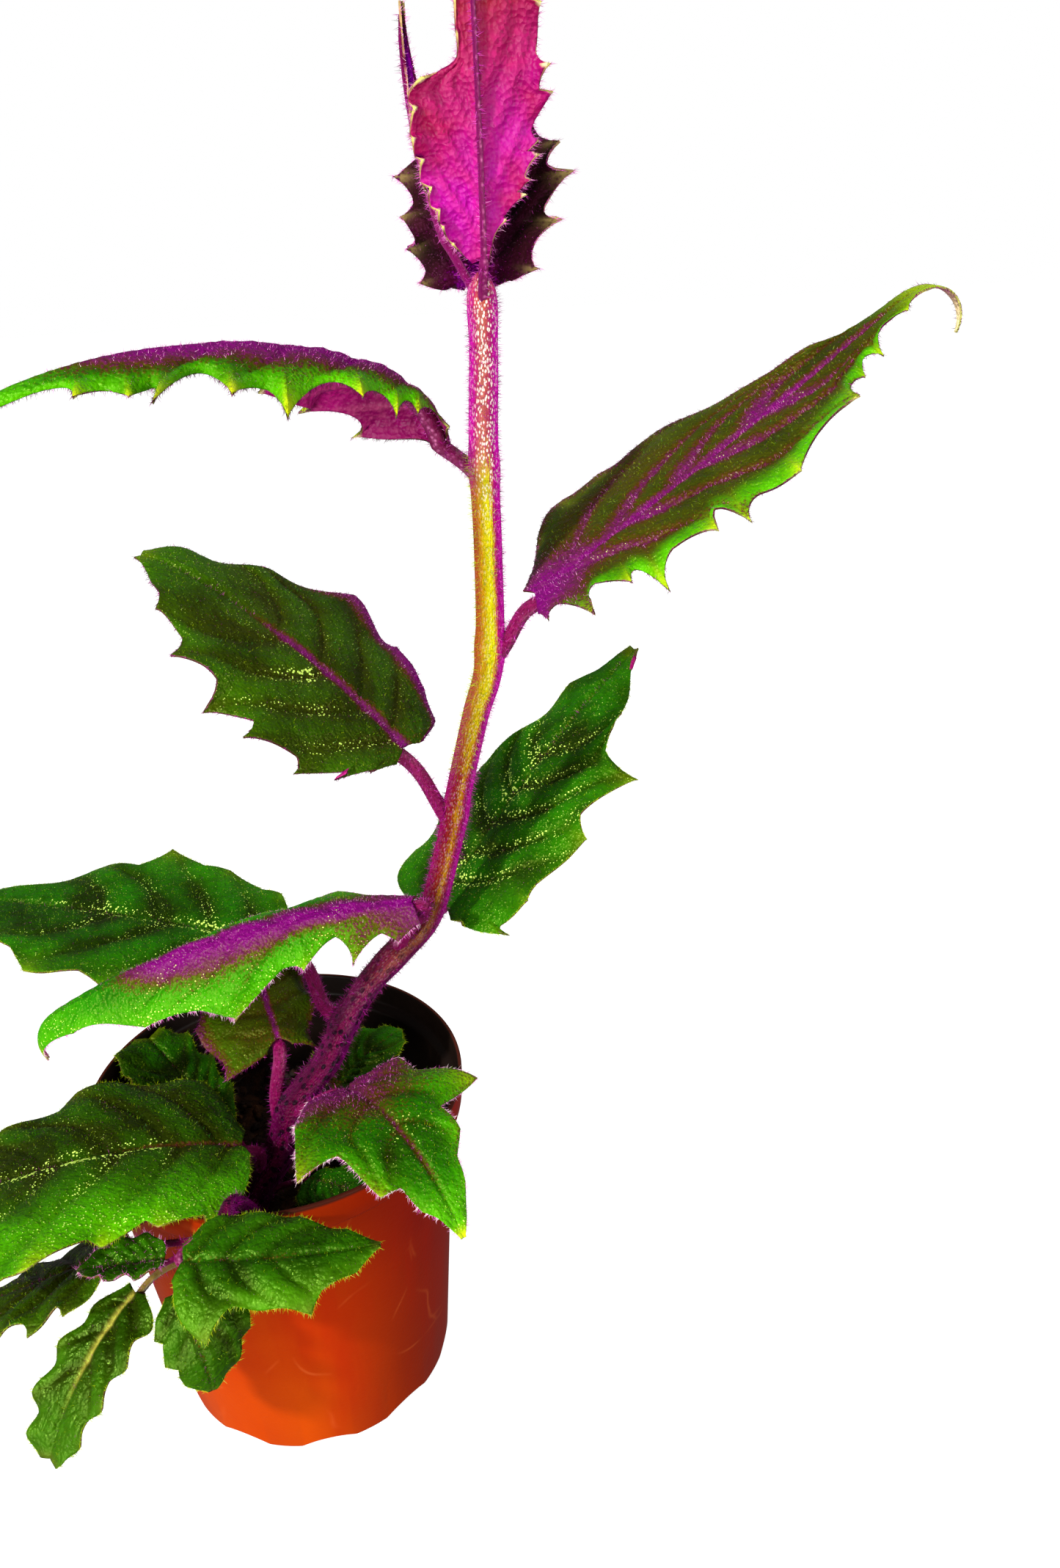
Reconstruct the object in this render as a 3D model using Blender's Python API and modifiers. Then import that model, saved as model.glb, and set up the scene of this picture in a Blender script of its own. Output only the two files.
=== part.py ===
"""A purple passion plant in a round nursery pot. Metres, +Z up, origin at the centre of the pot's underside.

Lengths below are in millimetres and angles in degrees. A heading is measured from +X towards +Y, and a rise
from the level upwards. Each leaf is one piece with its stalk, a fraction of a millimetre clear of its stem.
"""

import math
from collections import namedtuple

import bmesh
import bpy
import numpy as np
from mathutils import Matrix, Vector, noise

MM = 0.001
GAP = 0.3

POT_HEIGHT = 106
RIM_RADIUS = 55
WALL_TOP_RADIUS = 51.6
FOOT_RADIUS = 42.5
COLLAR_HEIGHT = 10
WALL = 1.4
FLOOR = 1.8
FOOT_CHAMFER = 1.0
LIP_ROUND = 0.5
POT_SIDES = 48
NOTCHES = 10
NOTCH_WIDTH = 18
NOTCH_HEIGHT = 2.8
NOTCH_TURN = -79
NOTCH_DEPTH = 8

SOIL_LEVEL = 76
SOIL_RELIEF = 2.2
SOIL_LUMP = 11
SOIL_RINGS = 7
SOIL_SIDES = 36
SOIL_SEED = 5

STEM_ROUNDNESS = 2
MAIN_STEM_STEP = 9
SIDE_STEM_STEP = 7

# Centre line of the main stem: x, y, height, radius.
MAIN_STEM = (
    (-12, -20, 54, 5.0), (-8, -18, 78, 5.0), (1, -15, 92, 4.8), (7, -12, 107, 4.6),
    (17.5, -9, 119, 4.5), (24, -6, 131, 4.3), (32, -4, 142, 4.2), (42, -2, 152, 4.1),
    (50, -1, 161, 4.0), (57, 0, 182, 3.8), (61.5, 0, 200, 3.6), (67, 0, 220, 3.5),
    (71.5, 0, 235, 3.6), (73, 0, 263, 3.4), (73.5, 0, 287, 3.4), (75, 0, 310, 3.2),
    (75.5, 0, 326, 2.6),
)
SIDE_STEM = (
    (2, -33, 58, 2.2), (1, -36, 78, 2.2), (-1, -45, 98, 2.1), (-3, -52.5, 109, 2.0),
    (-5, -59, 106, 1.9), (-10, -65, 102, 1.6),
)

# One row a leaf: the place where its stalk leaves the stem (a height, or a share of the side stem), where its
# blade starts, heading and rise from base to tip, length, greatest half widths left and right of the midrib, how
# the width grows from the base and fades to the tip, roll from base to tip, fold and curl of the halves, bend of
# the tip, teeth a side and their depth, radius of the stalk.
LEAVES = {
    "leaf_upper_left": dict(
        stem="main", leaves_at=283, base=(65, 3, 290), heading=(220, 192), rise=(46, -25), length=116,
        half=(22, 20), growth=(0.6, 0.85), roll=(4, 0), fold=(-23, -33), curl=-10, hook=-15, teeth=(7, 7.5),
        stalk=2.0),
    "leaf_upper_right": dict(
        stem="main", leaves_at=238, base=(84, -1, 252), heading=(17, 20), rise=(30, 33), length=135,
        half=(31, 32), growth=(0.55, 1.2), roll=(6, 0), fold=(-3, 7), curl=0, hook=-60, teeth=(7, 5.5),
        stalk=2.0),
    "leaf_middle_left": dict(
        stem="main", leaves_at=192, base=(48, -2, 213), heading=(155, 163), rise=(46, 24), length=86,
        half=(34, 32), growth=(0.5, 1.05), roll=(-1, -3), fold=(-3, -1), curl=0, hook=-15, teeth=(7, 3.5),
        stalk=2.0),
    "leaf_back_right": dict(
        stem="main", leaves_at=148, base=(53, 15, 157), heading=(38, 37), rise=(43, 29), length=95,
        half=(29, 31), growth=(0.45, 1.1), roll=(-5, -6), fold=(-6, -2), curl=0, hook=0, teeth=(6, 4),
        stalk=1.9),
    "leaf_back_left": dict(
        stem="main", leaves_at=130, base=(1, 27, 136), heading=(166, 162), rise=(10, -6), length=116,
        half=(31, 32), growth=(0.45, 1.05), roll=(-5, 2), fold=(5, 7), curl=-5, hook=0, teeth=(6, 4.5),
        stalk=1.9),
    "leaf_front_left": dict(
        stem="main", leaves_at=153, base=(47, -14, 174), heading=(182, 173), rise=(-3, -40), length=118,
        half=(15, 23), growth=(0.55, 0.85), roll=(-19, -17), fold=(-27, -27), curl=-10, hook=-8,
        teeth=(7, 4.5), stalk=1.9),
    "leaf_inner_left": dict(
        stem="main", leaves_at=103, base=(4, -6, 126), heading=(112, 105), rise=(24, -25), length=69,
        half=(25, 20), growth=(0.45, 0.9), roll=(2, 1), fold=(-13, -14), curl=-8, hook=0, teeth=(4, 4),
        stalk=1.7),
    "leaf_lower_left": dict(
        stem="main", leaves_at=88, base=(-6, -26, 105), heading=(198, 189), rise=(19, -27), length=102,
        half=(31, 33), growth=(0.5, 0.9), roll=(8, 12), fold=(-4, 10), curl=-6, hook=0, teeth=(6, 4),
        stalk=1.8),
    "leaf_front_right": dict(
        stem="main", leaves_at=107, base=(25, -24, 121), heading=(-53, -55), rise=(25, -50), length=61,
        half=(25, 26), growth=(0.35, 1.35), roll=(2, 0), fold=(3, 3), curl=-10, hook=-10, teeth=(4, 5),
        stalk=1.7),
    "leaf_inner_back": dict(
        stem="main", leaves_at=82, base=(-19, 3, 89), heading=(140, 136), rise=(28, 20), length=34,
        half=(14, 13), growth=(0.45, 0.95), roll=(8, 8), fold=(6, 4), curl=0, hook=0, teeth=(3, 2),
        stalk=1.1),
    "leaf_low_right": dict(
        stem="main", leaves_at=83, base=(10, -21, 87), heading=(-38, -32), rise=(24, -8), length=25,
        half=(9, 9), growth=(0.45, 0.9), roll=(0, 0), fold=(-8, -7), curl=-6, hook=0, teeth=(3, 1.6),
        stalk=1.0),
    "leaf_back_low": dict(
        stem="main", leaves_at=94, base=(14, 8, 96), heading=(43, 41), rise=(22, 2), length=29,
        half=(14, 14), growth=(0.45, 0.95), roll=(-2, -2), fold=(4, 6), curl=0, hook=0, teeth=(3, 2),
        stalk=1.1),
    "leaf_tip_front": dict(
        stem="main", leaves_at=321, base=(76, -6, 329), heading=(-80, -86), rise=(76, 86), length=68,
        half=(15, 15), growth=(0.9, 0.9), roll=(0, 0), fold=(14, 14), curl=0, hook=0, teeth=(7, 2.6),
        stalk=1.8),
    "leaf_tip_back": dict(
        stem="main", leaves_at=317, base=(75, 9, 324), heading=(75, 83), rise=(75, 55), length=50,
        half=(21, 23), growth=(0.5, 0.9), roll=(-14, -12), fold=(3, 12), curl=0, hook=0, teeth=(5, 4.5),
        stalk=1.6),
    "leaf_tip_side": dict(
        stem="main", leaves_at=323, base=(69, 4, 333), heading=(145, 150), rise=(60, 96), length=47,
        half=(8, 8), growth=(0.45, 0.95), roll=(-20, -18), fold=(34, 34), curl=15, hook=0, teeth=(4, 1.6),
        stalk=1.1),
    "leaf_shoot_right": dict(
        stem="side", leaves_at=0.86, base=(-12, -71, 109), heading=(-6, 8), rise=(2, 0), length=49,
        half=(14, 16), growth=(0.5, 1.05), roll=(12, 6), fold=(-4, -10), curl=-8, hook=0, teeth=(5, 3),
        stalk=1.1),
    "leaf_shoot_under": dict(
        stem="side", leaves_at=0.95, base=(-14, -73, 100), heading=(-60, -50), rise=(-20, -100), length=34,
        half=(18, 12), growth=(0.5, 0.9), roll=(8, 6), fold=(-2, -16), curl=-6, hook=0, teeth=(4, 2.6),
        stalk=1.0),
    "leaf_shoot_hanging": dict(
        stem="side", leaves_at=1.0, base=(-27, -68, 96), heading=(222, 221), rise=(-16, -65), length=50,
        half=(14, 12), growth=(0.55, 0.85), roll=(0, -3), fold=(4, 5), curl=0, hook=0, teeth=(5, 2.6),
        stalk=1.0),
    "leaf_shoot_left": dict(
        stem="side", leaves_at=0.92, base=(-34, -58, 100), heading=(182, 180), rise=(-22, -36), length=50,
        half=(18, 18), growth=(0.5, 0.95), roll=(13, 9), fold=(-2, -9), curl=-6, hook=0, teeth=(5, 3),
        stalk=1.0),
    "leaf_shoot_young": dict(
        stem="side", leaves_at=0.97, base=(-18, -67, 106), heading=(186, 182), rise=(4, -10), length=22,
        half=(7, 7), growth=(0.5, 0.9), roll=(0, 0), fold=(16, 16), curl=0, hook=0, teeth=(3, 1.4),
        stalk=0.8),
}
# These two hang over like a roof, and take one more row of points along the middle of each half.
FOLDED_LEAVES = ("leaf_upper_left", "leaf_front_left")
MID_HALF = 0.6

BLADE = 0.8
RIB_REACH = 2.4
RIB_DEPTH = 1.3
RIB_LEAST = 0.5
TIP_HALF_WIDTH = 0.7
TOOTH_PEAK = 0.8
TOOTH_HOOK = 0.35
NOTCH_SHARE = 0.35
TEETH_FROM = 0.09
TEETH_TO = 0.94
BLADE_END = 0.985
TIP_BEND_FROM = 0.82
MIDRIB_STEPS = 48
# Rows across a blade run back at its base and forward at its tip, by these shares of the half width.
SWEEP_BASE = -0.3
SWEEP_TIP = 0.5
STALK_ROWS = (0, 0.2, 0.45, 0.75)
STALK_LEAVE = 0.35
STALK_ARRIVE = 0.4
STALK_DROP = 0.6
STALK_ARC = math.radians(81)

# A row of a leaf: its middle, three directions, and what shapes its cross-section.
Row = namedtuple("Row", "middle forward up right halves out ahead sweep rib is_round")


def clear_scene():
    for obj in list(bpy.data.objects):
        bpy.data.objects.remove(obj, do_unlink=True)


def collection(name):
    made = bpy.data.collections.new(name)
    bpy.context.scene.collection.children.link(made)
    return made


def material(name, colour, roughness):
    made = bpy.data.materials.new(name)
    made.use_nodes = True
    shader = made.node_tree.nodes["Principled BSDF"]
    shader.inputs["Base Color"].default_value = (*colour, 1)
    shader.inputs["Roughness"].default_value = roughness
    made.diffuse_color = (*colour, 1)
    return made


def add_object(name, mesh, where, finish=None):
    obj = bpy.data.objects.new(name, mesh)
    where.objects.link(obj)
    if finish:
        mesh.materials.append(finish)
    return obj


def baked(obj, where, finish=None):
    """The object as its modifiers leave it, as a plain mesh object of the same name."""
    bpy.context.view_layer.update()
    graph = bpy.context.evaluated_depsgraph_get()
    mesh = bpy.data.meshes.new_from_object(obj.evaluated_get(graph))
    name = obj.name
    bpy.data.objects.remove(obj, do_unlink=True)
    work = bmesh.new()
    work.from_mesh(mesh)
    bmesh.ops.remove_doubles(work, verts=work.verts, dist=1e-6)
    bmesh.ops.recalc_face_normals(work, faces=work.faces)
    work.to_mesh(mesh)
    work.free()
    mesh.materials.clear()
    return add_object(name, mesh, where, finish)


def turned(name, profile, sides, where, finish=None):
    """A solid of revolution about Z, from a profile in millimetres that runs down its outer side."""
    mesh = bpy.data.meshes.new(name)
    points = [(r * MM, 0, z * MM) for r, z in profile]
    mesh.from_pydata(points, [(i, i + 1) for i in range(len(points) - 1)], [])
    obj = add_object(name, mesh, where, finish)
    screw = obj.modifiers.new("Turn", "SCREW")
    screw.steps = screw.render_steps = sides
    screw.use_merge_vertices = True
    screw.merge_threshold = 1e-5
    return obj


def wall_radius(height):
    """Outer radius of the tapered wall."""
    return FOOT_RADIUS + (WALL_TOP_RADIUS - FOOT_RADIUS) * height / (POT_HEIGHT - COLLAR_HEIGHT)


def cut(obj, cutter):
    cutter.hide_render = True
    cutter.display_type = "WIRE"
    boolean = obj.modifiers.new("Cut " + cutter.name, "BOOLEAN")
    boolean.operation = "DIFFERENCE"
    boolean.object = cutter


def make_pot(where, cutters):
    collar = POT_HEIGHT - COLLAR_HEIGHT
    inside = wall_radius(collar) - WALL
    lip = RIM_RADIUS - WALL
    profile = (
        (0, FLOOR), (wall_radius(FLOOR) - WALL, FLOOR), (inside, collar + WALL),
        (lip - LIP_ROUND, collar + 2 * WALL), (lip, POT_HEIGHT - LIP_ROUND), (lip + LIP_ROUND, POT_HEIGHT),
        (RIM_RADIUS - LIP_ROUND, POT_HEIGHT), (RIM_RADIUS, POT_HEIGHT - LIP_ROUND),
        (RIM_RADIUS - LIP_ROUND, collar + LIP_ROUND), (RIM_RADIUS - 2 * LIP_ROUND, collar),
        (wall_radius(collar), collar), (wall_radius(FOOT_CHAMFER), FOOT_CHAMFER),
        (FOOT_RADIUS - FOOT_CHAMFER, 0), (0, 0),
    )
    pot = turned("pot", profile, POT_SIDES, where, material("Orange plastic", (0.71, 0.08, 0.01), 0.35))
    radius = (NOTCH_WIDTH**2 / 4 + NOTCH_HEIGHT**2) / (2 * NOTCH_HEIGHT)
    work = bmesh.new()
    for i in range(NOTCHES):
        angle = math.radians(NOTCH_TURN + 360 * i / NOTCHES)
        place = (
            Matrix.Rotation(angle, 4, "Z")
            @ Matrix.Translation((FOOT_RADIUS * MM, 0, (NOTCH_HEIGHT - radius) * MM))
            @ Matrix.Rotation(math.pi / 2, 4, "Y")
        )
        bmesh.ops.create_cone(work, cap_ends=True, segments=POT_SIDES, radius1=radius * MM,
                              radius2=radius * MM, depth=NOTCH_DEPTH * MM, matrix=place)
    mesh = bpy.data.meshes.new("drain_notches")
    work.to_mesh(mesh)
    work.free()
    cut(pot, add_object("drain_notches", mesh, cutters))
    return pot


def make_soil(where):
    clear = WALL + 1.5 * GAP
    top = wall_radius(SOIL_LEVEL) - clear
    profile = [(top * k / SOIL_RINGS, SOIL_LEVEL) for k in range(SOIL_RINGS + 1)]
    profile += [(wall_radius(2 * FLOOR) - clear, 2 * FLOOR),
                (wall_radius(FLOOR) - clear - GAP, FLOOR + GAP), (0, FLOOR + GAP)]
    finish = material("Potting mix", (0.012, 0.008, 0.006), 0.9)
    soil = baked(turned("potting_soil", profile, SOIL_SIDES, where), where, finish)
    for vertex in soil.data.vertices:
        x, y, z = vertex.co / MM
        if z > SOIL_LEVEL - 1:
            lump = noise.noise(Vector((x / SOIL_LUMP, y / SOIL_LUMP, SOIL_SEED)))
            vertex.co.z = (z + SOIL_RELIEF * lump) * MM
    return soil


def smooth_path(points, step):
    """Points along a Catmull-Rom curve through rows of x, y, z, radius."""
    rows = np.array(points, float)
    ends = np.concatenate([[2 * rows[0] - rows[1]], rows, [2 * rows[-1] - rows[-2]]])
    found = []
    for i in range(1, len(ends) - 2):
        a, b, c, d = ends[i - 1 : i + 3]
        count = max(1, round(np.linalg.norm((c - b)[:3]) / step))
        for t in np.arange(count) / count:
            found.append(0.5 * (2 * b + (c - a) * t + (2 * a - 5 * b + 4 * c - d) * t**2
                                + (3 * b - a - 3 * c + d) * t**3))
    found.append(rows[-1])
    return np.array(found)


def tube(name, path, extra, where, finish=None):
    """A stem as a curve with filled caps, made a mesh. extra thickens it, for the hole that it stands in."""
    curve = bpy.data.curves.new(name, "CURVE")
    curve.dimensions = "3D"
    curve.bevel_depth = MM
    curve.bevel_resolution = STEM_ROUNDNESS
    curve.use_fill_caps = True
    spline = curve.splines.new("POLY")
    spline.points.add(len(path) - 1)
    for point, (x, y, z, radius) in zip(spline.points, path):
        point.co = (x * MM, y * MM, z * MM, 1)
        point.radius = radius + extra
    obj = bpy.data.objects.new(name, curve)
    where.objects.link(obj)
    return baked(obj, where, finish)


def stand_in_soil(soil, name, path, cutters):
    """Cuts the plain hole in which a stem stands, a little deeper and wider than the stem."""
    foot = path[path[:, 2] < SOIL_LEVEL + 12].copy()
    foot[0, :3] -= GAP * 1.5 * (foot[1, :3] - foot[0, :3]) / np.linalg.norm(foot[1, :3] - foot[0, :3])
    cut(soil, tube(name + "_hole", foot, GAP, cutters))


def direction(heading, rise):
    h, r = np.radians(heading), np.radians(rise)
    return np.stack([np.cos(r) * np.cos(h), np.cos(r) * np.sin(h), np.sin(r)], -1)


def up_side(heading, rise):
    h, r = np.radians(heading), np.radians(rise)
    return np.stack([-np.sin(r) * np.cos(h), -np.sin(r) * np.sin(h), np.cos(r)], -1)


def midrib(leaf, along):
    """Points of the midrib and its frame there: forward, the upper face's normal, and to the right."""
    steps = (np.arange(MIDRIB_STEPS) + 0.5) / MIDRIB_STEPS

    def course(u):
        heading = leaf["heading"][0] + (leaf["heading"][1] - leaf["heading"][0]) * u
        tip_bend = leaf["hook"] * np.clip((u - TIP_BEND_FROM) / (1 - TIP_BEND_FROM), 0, 1) ** 1.5
        rise = leaf["rise"][0] + (leaf["rise"][1] - leaf["rise"][0]) * u + tip_bend
        return heading, rise

    walk = direction(*course(steps)) * leaf["length"] / MIDRIB_STEPS
    line = np.concatenate([[np.zeros(3)], np.cumsum(walk, 0)]) + np.array(leaf["base"], float)
    marks = np.linspace(0, 1, MIDRIB_STEPS + 1)
    points = np.stack([np.interp(along, marks, line[:, i]) for i in range(3)], -1)
    forward = direction(*course(along))
    up = up_side(*course(along))
    right = np.cross(forward, up)
    roll = np.radians(leaf["roll"][0] + (leaf["roll"][1] - leaf["roll"][0]) * along)[:, None]
    return points, forward, up * np.cos(roll) + right * np.sin(roll), right * np.cos(roll) - up * np.sin(roll)


def width_along(leaf, along):
    """Half width of the blade as a share of its greatest."""
    grow, fade = leaf["growth"]
    widest = grow / (grow + fade)
    along = np.clip(along, 0, 1)
    return (along**grow * (1 - along) ** fade) / (widest**grow * (1 - widest) ** fade)


def tooth(phase):
    """Height of a tooth from one notch to the next: a long hollow rise to a sharp tip, then a short fall."""
    rise = np.clip(phase / TOOTH_PEAK, 0, 1) ** 1.7
    fall = np.clip((1 - phase) / (1 - TOOTH_PEAK), 0, 1) ** 1.2
    return np.where(phase < TOOTH_PEAK, rise, fall)


def stalk_rows(leaf, start, outward):
    """Round rows along the stalk, which leaves the stem squarely and bends into the blade."""
    base = np.array(leaf["base"], float)
    forward, right = midrib(leaf, np.zeros(1))[1][0], midrib(leaf, np.zeros(1))[3][0]
    reach = np.linalg.norm(base - start)
    leave = start + outward * reach * STALK_LEAVE
    arrive = base - forward * reach * STALK_ARRIVE
    radius = leaf["stalk"]
    rows = []
    for t in STALK_ROWS:
        back = 1 - t
        middle = start * back**3 + 3 * leave * t * back**2 + 3 * arrive * t**2 * back + base * t**3
        heading = (leave - start) * back**2 + 2 * (arrive - leave) * t * back + (base - arrive) * t**2
        heading /= np.linalg.norm(heading)
        aside = right - heading * (heading @ right)
        aside /= np.linalg.norm(aside)
        rows.append(Row(middle, heading, np.cross(aside, heading), aside, (radius, radius), 0, 0, 0, 0, True))
    return rows


def blade_rows(leaf):
    """Rows across the blade: its base, each tooth's notch, rise and tip, and its end."""
    count, depth = leaf["teeth"]
    span = (TEETH_TO - TEETH_FROM) / count
    along = [0.0, 0.02, 0.05]
    for k in range(count):
        along += [TEETH_FROM + span * (k + part) for part in (0, 0.5, TOOTH_PEAK)]
    along = np.array(along + [TEETH_TO, BLADE_END])
    phase = (along - TEETH_FROM) / span
    height = np.where((phase < 0) | (along >= TEETH_TO), 0.0, tooth(np.mod(phase, 1)))
    share = width_along(leaf, along)
    out = depth * (height - NOTCH_SHARE) * np.clip(share / (1 - NOTCH_SHARE), 0, 1)
    sweep = SWEEP_BASE + (SWEEP_TIP - SWEEP_BASE) * along
    rows = []
    for i, (middle, forward, up, right) in enumerate(zip(*midrib(leaf, along))):
        least = leaf["stalk"] if along[i] < 0.5 else TIP_HALF_WIDTH
        halves = tuple(max(half * share[i], least) for half in leaf["half"])
        rib = RIB_DEPTH * leaf["stalk"] * (1 - along[i]) + RIB_LEAST
        ahead = TOOTH_HOOK * height[i] * depth
        rows.append(Row(middle, forward, up, right, halves, out[i], ahead, sweep[i], rib, i == 0))
    return rows


def across(row, folded):
    """Places across a row, from -1 at the left margin to 1 at the right, with one at each side of the rib."""
    left, right = (min(0.4, RIB_REACH / half) for half in row.halves)
    if folded:
        return (-1, -MID_HALF, -left, 0, right, MID_HALF, 1)
    return (-1, -left, 0, right, 1)


def round_section(row, radius, places):
    """Top and bottom points of a round stalk."""
    middle = row.middle - row.up * radius * STALK_DROP
    top, bottom = [], []
    for place in places:
        angle = STALK_ARC * place
        aside = row.right * radius * math.sin(angle)
        high = row.up * radius * math.cos(angle)
        top.append(middle + aside + high)
        bottom.append(middle + aside - high)
    return top, bottom


def blade_section(row, leaf, places):
    """Top and bottom points of the folded blade, with the rib below its middle."""
    curl = math.radians(leaf["curl"])
    top, bottom = [], []
    for place in places:
        side = int(place > 0)
        a, half, fold = abs(place), row.halves[side], math.radians(leaf["fold"][side])
        if curl:
            level = (math.sin(fold + curl * a) - math.sin(fold)) / curl
            lift = (math.cos(fold) - math.cos(fold + curl * a)) / curl
        else:
            level, lift = a * math.cos(fold), a * math.sin(fold)
        aside = level * half + a**4 * row.out
        if not side:
            aside = -aside
        forward = row.sweep * a * half + a**4 * row.ahead
        point = row.middle + row.right * aside + row.up * lift * half + row.forward * forward
        top.append(point)
        bottom.append(point - row.up * (BLADE + (0 if place else row.rib)))
    return top, bottom


def make_leaf(name, leaf, path, where, finish):
    """Lofts a leaf's rows into one closed body, with its faces split alike above and below."""
    centre, radius, tangent = stem_place(leaf, path)
    outward = np.array(leaf["base"], float) - centre
    outward -= tangent * (outward @ tangent)
    outward /= np.linalg.norm(outward)
    rows = stalk_rows(leaf, centre + outward * (radius + GAP), outward) + blade_rows(leaf)
    work = bmesh.new()
    loops = []
    for row in rows:
        places = across(row, name in FOLDED_LEAVES)
        if row.is_round:
            top, bottom = round_section(row, leaf["stalk"], places)
        else:
            top, bottom = blade_section(row, leaf, places)
        loops.append([work.verts.new(Vector(point) * MM) for point in top + bottom[::-1]])
    count = len(loops[0])
    half = count // 2
    for one, two in zip(loops, loops[1:]):
        for j in range(count):
            k = (j + 1) % count
            if j < half:
                work.faces.new((one[j], two[j], two[k]))
                work.faces.new((one[j], two[k], one[k]))
            else:
                work.faces.new((one[j], two[j], one[k]))
                work.faces.new((two[j], two[k], one[k]))
    for loop in (loops[0], loops[-1]):
        for j in range(half - 1):
            a, b, c, d = loop[j], loop[j + 1], loop[count - 2 - j], loop[count - 1 - j]
            work.faces.new((a, b, c))
            work.faces.new((a, c, d))
    bmesh.ops.recalc_face_normals(work, faces=work.faces)
    mesh = bpy.data.meshes.new(name)
    work.to_mesh(mesh)
    work.free()
    return add_object(name, mesh, where, finish)


def stem_place(leaf, path):
    """Centre, radius and direction of the stem at the place where a leaf's stalk leaves it."""
    if leaf["stem"] == "main":
        index = np.interp(leaf["leaves_at"], path[:, 2], np.arange(len(path)))
    else:
        index = leaf["leaves_at"] * (len(path) - 1)
    low = min(int(index), len(path) - 2)
    part = index - low
    place = path[low] * (1 - part) + path[low + 1] * part
    tangent = (path[low + 1] - path[low])[:3]
    return place[:3], place[3], tangent / np.linalg.norm(tangent)


def main():
    clear_scene()
    plant = collection("Purple passion plant")
    cutters = collection("Cutters")
    make_pot(plant, cutters)
    soil = make_soil(plant)
    stems = {"main": smooth_path(MAIN_STEM, MAIN_STEM_STEP), "side": smooth_path(SIDE_STEM, SIDE_STEM_STEP)}
    stem_finish = material("Purple stem", (0.30, 0.02, 0.14), 0.5)
    for kind, path in stems.items():
        tube(kind + "_stem", path, 0, plant, stem_finish)
        stand_in_soil(soil, kind + "_stem", path, cutters)
    young = material("Young magenta leaf", (0.52, 0.02, 0.22), 0.5)
    grown = material("Green leaf", (0.04, 0.12, 0.01), 0.5)
    for name, leaf in LEAVES.items():
        finish = young if "tip" in name else grown
        make_leaf(name, leaf, stems[leaf["stem"]], plant, finish)
    for obj in plant.objects:
        obj.data.shade_smooth()
        obj.data.set_sharp_from_angle(angle=math.radians(35))


main()
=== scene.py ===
"""The looks of a potted purple passion plant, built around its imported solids.

Lengths are in millimetres and angles in degrees until a point goes into a mesh. A heading is measured from
+X towards +Y, and a rise from the level upwards. Along a leaf u runs from 0 at its base to 1 at its tip.
Across it q runs from -1 at its left margin over 0 at its midrib to 1 at its right margin, seen from the base
on its upper side.
"""

import math

import bpy
import numpy as np
from mathutils import Matrix, Vector


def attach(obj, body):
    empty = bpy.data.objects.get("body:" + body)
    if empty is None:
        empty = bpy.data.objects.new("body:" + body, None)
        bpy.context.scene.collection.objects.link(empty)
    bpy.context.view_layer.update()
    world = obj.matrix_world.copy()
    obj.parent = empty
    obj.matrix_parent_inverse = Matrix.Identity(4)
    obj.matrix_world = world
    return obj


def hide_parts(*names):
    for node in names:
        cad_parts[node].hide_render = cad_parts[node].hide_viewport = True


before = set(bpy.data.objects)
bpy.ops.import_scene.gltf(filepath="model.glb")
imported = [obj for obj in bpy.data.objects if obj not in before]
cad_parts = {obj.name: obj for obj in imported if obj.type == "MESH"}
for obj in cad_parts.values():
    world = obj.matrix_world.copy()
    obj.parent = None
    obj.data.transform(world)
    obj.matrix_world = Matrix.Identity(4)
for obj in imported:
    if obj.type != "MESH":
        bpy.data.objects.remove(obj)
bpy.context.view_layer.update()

MM = 0.001
PHOTO_HEIGHT = 2137

# The camera that took the picture, in millimetres from the centre of the pot's underside.
CAMERA_PLACE = (80, -305, 350)
CAMERA_PITCH = 26.3
CAMERA_ROLL = -3.18
FOCAL_PIXELS = 1750
SENSOR_WIDTH = 36.0

# The light: the middle of the plant, which the lamps point at, how bright the room is, how much the floor
# shines by itself and its grey, and for each lamp its place, kind, size (radians for the sun, metres for the
# rest) and power.
TARGET = (30, 0, 180)
ROOM_LIGHT = 0.12
FLOOR_LIGHT = 0.86
FLOOR_GREY = 0.35
LAMPS = {
    "key": ((-420, -500, 700), "SUN", 0.06, 3.0),
    "fill": ((-260, -620, 260), "AREA", 0.6, 7.0),
    "side": ((560, -330, 300), "AREA", 0.5, 2.5),
    "back": ((250, 600, 700), "AREA", 0.6, 4.0),
}
WHITE = (1, 1, 1, 1)

POT_HEIGHT = 106
RIM_RADIUS = 55
WALL_TOP_RADIUS = 51.6
FOOT_RADIUS = 42.5
COLLAR_HEIGHT = 10
WALL = 1.4
FLOOR = 1.8
CORNER_RADIUS = 0.9
POT_SIDES = 192
NOTCHES = 10
NOTCH_WIDTH = 18
NOTCH_HEIGHT = 2.8
NOTCH_TURN = -79

SOIL_LEVEL = 76
SOIL_SIDES = 120
SOIL_RINGS = 46
SOIL_WAVES = 14
CRUMBS = 420

# Centre lines of the stems: x, y, height, radius.
MAIN_STEM = (
    (-12, -20, 54, 4.9), (-8, -18, 78, 4.8), (1, -15, 92, 4.4), (7, -12, 107, 4.1),
    (17.5, -9, 119, 3.9), (24, -6, 131, 3.8), (32, -4, 142, 3.7), (42, -2, 152, 3.6),
    (50, -1, 161, 3.6), (57, 0, 182, 3.5), (61.5, 0, 200, 3.4), (67, 0, 220, 3.4),
    (71.5, 0, 235, 3.6), (73, 0, 263, 3.4), (73.5, 0, 287, 3.4), (75, 0, 310, 3.2),
    (75.5, 0, 326, 2.6),
)
SIDE_STEM = (
    (2, -33, 58, 2.2), (1, -36, 78, 2.2), (-1, -45, 98, 2.1), (-3, -52.5, 109, 2.0),
    (-5, -59, 106, 2.3), (-10, -65, 102, 2.3),
)
STEM_SIDES = 36
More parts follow.
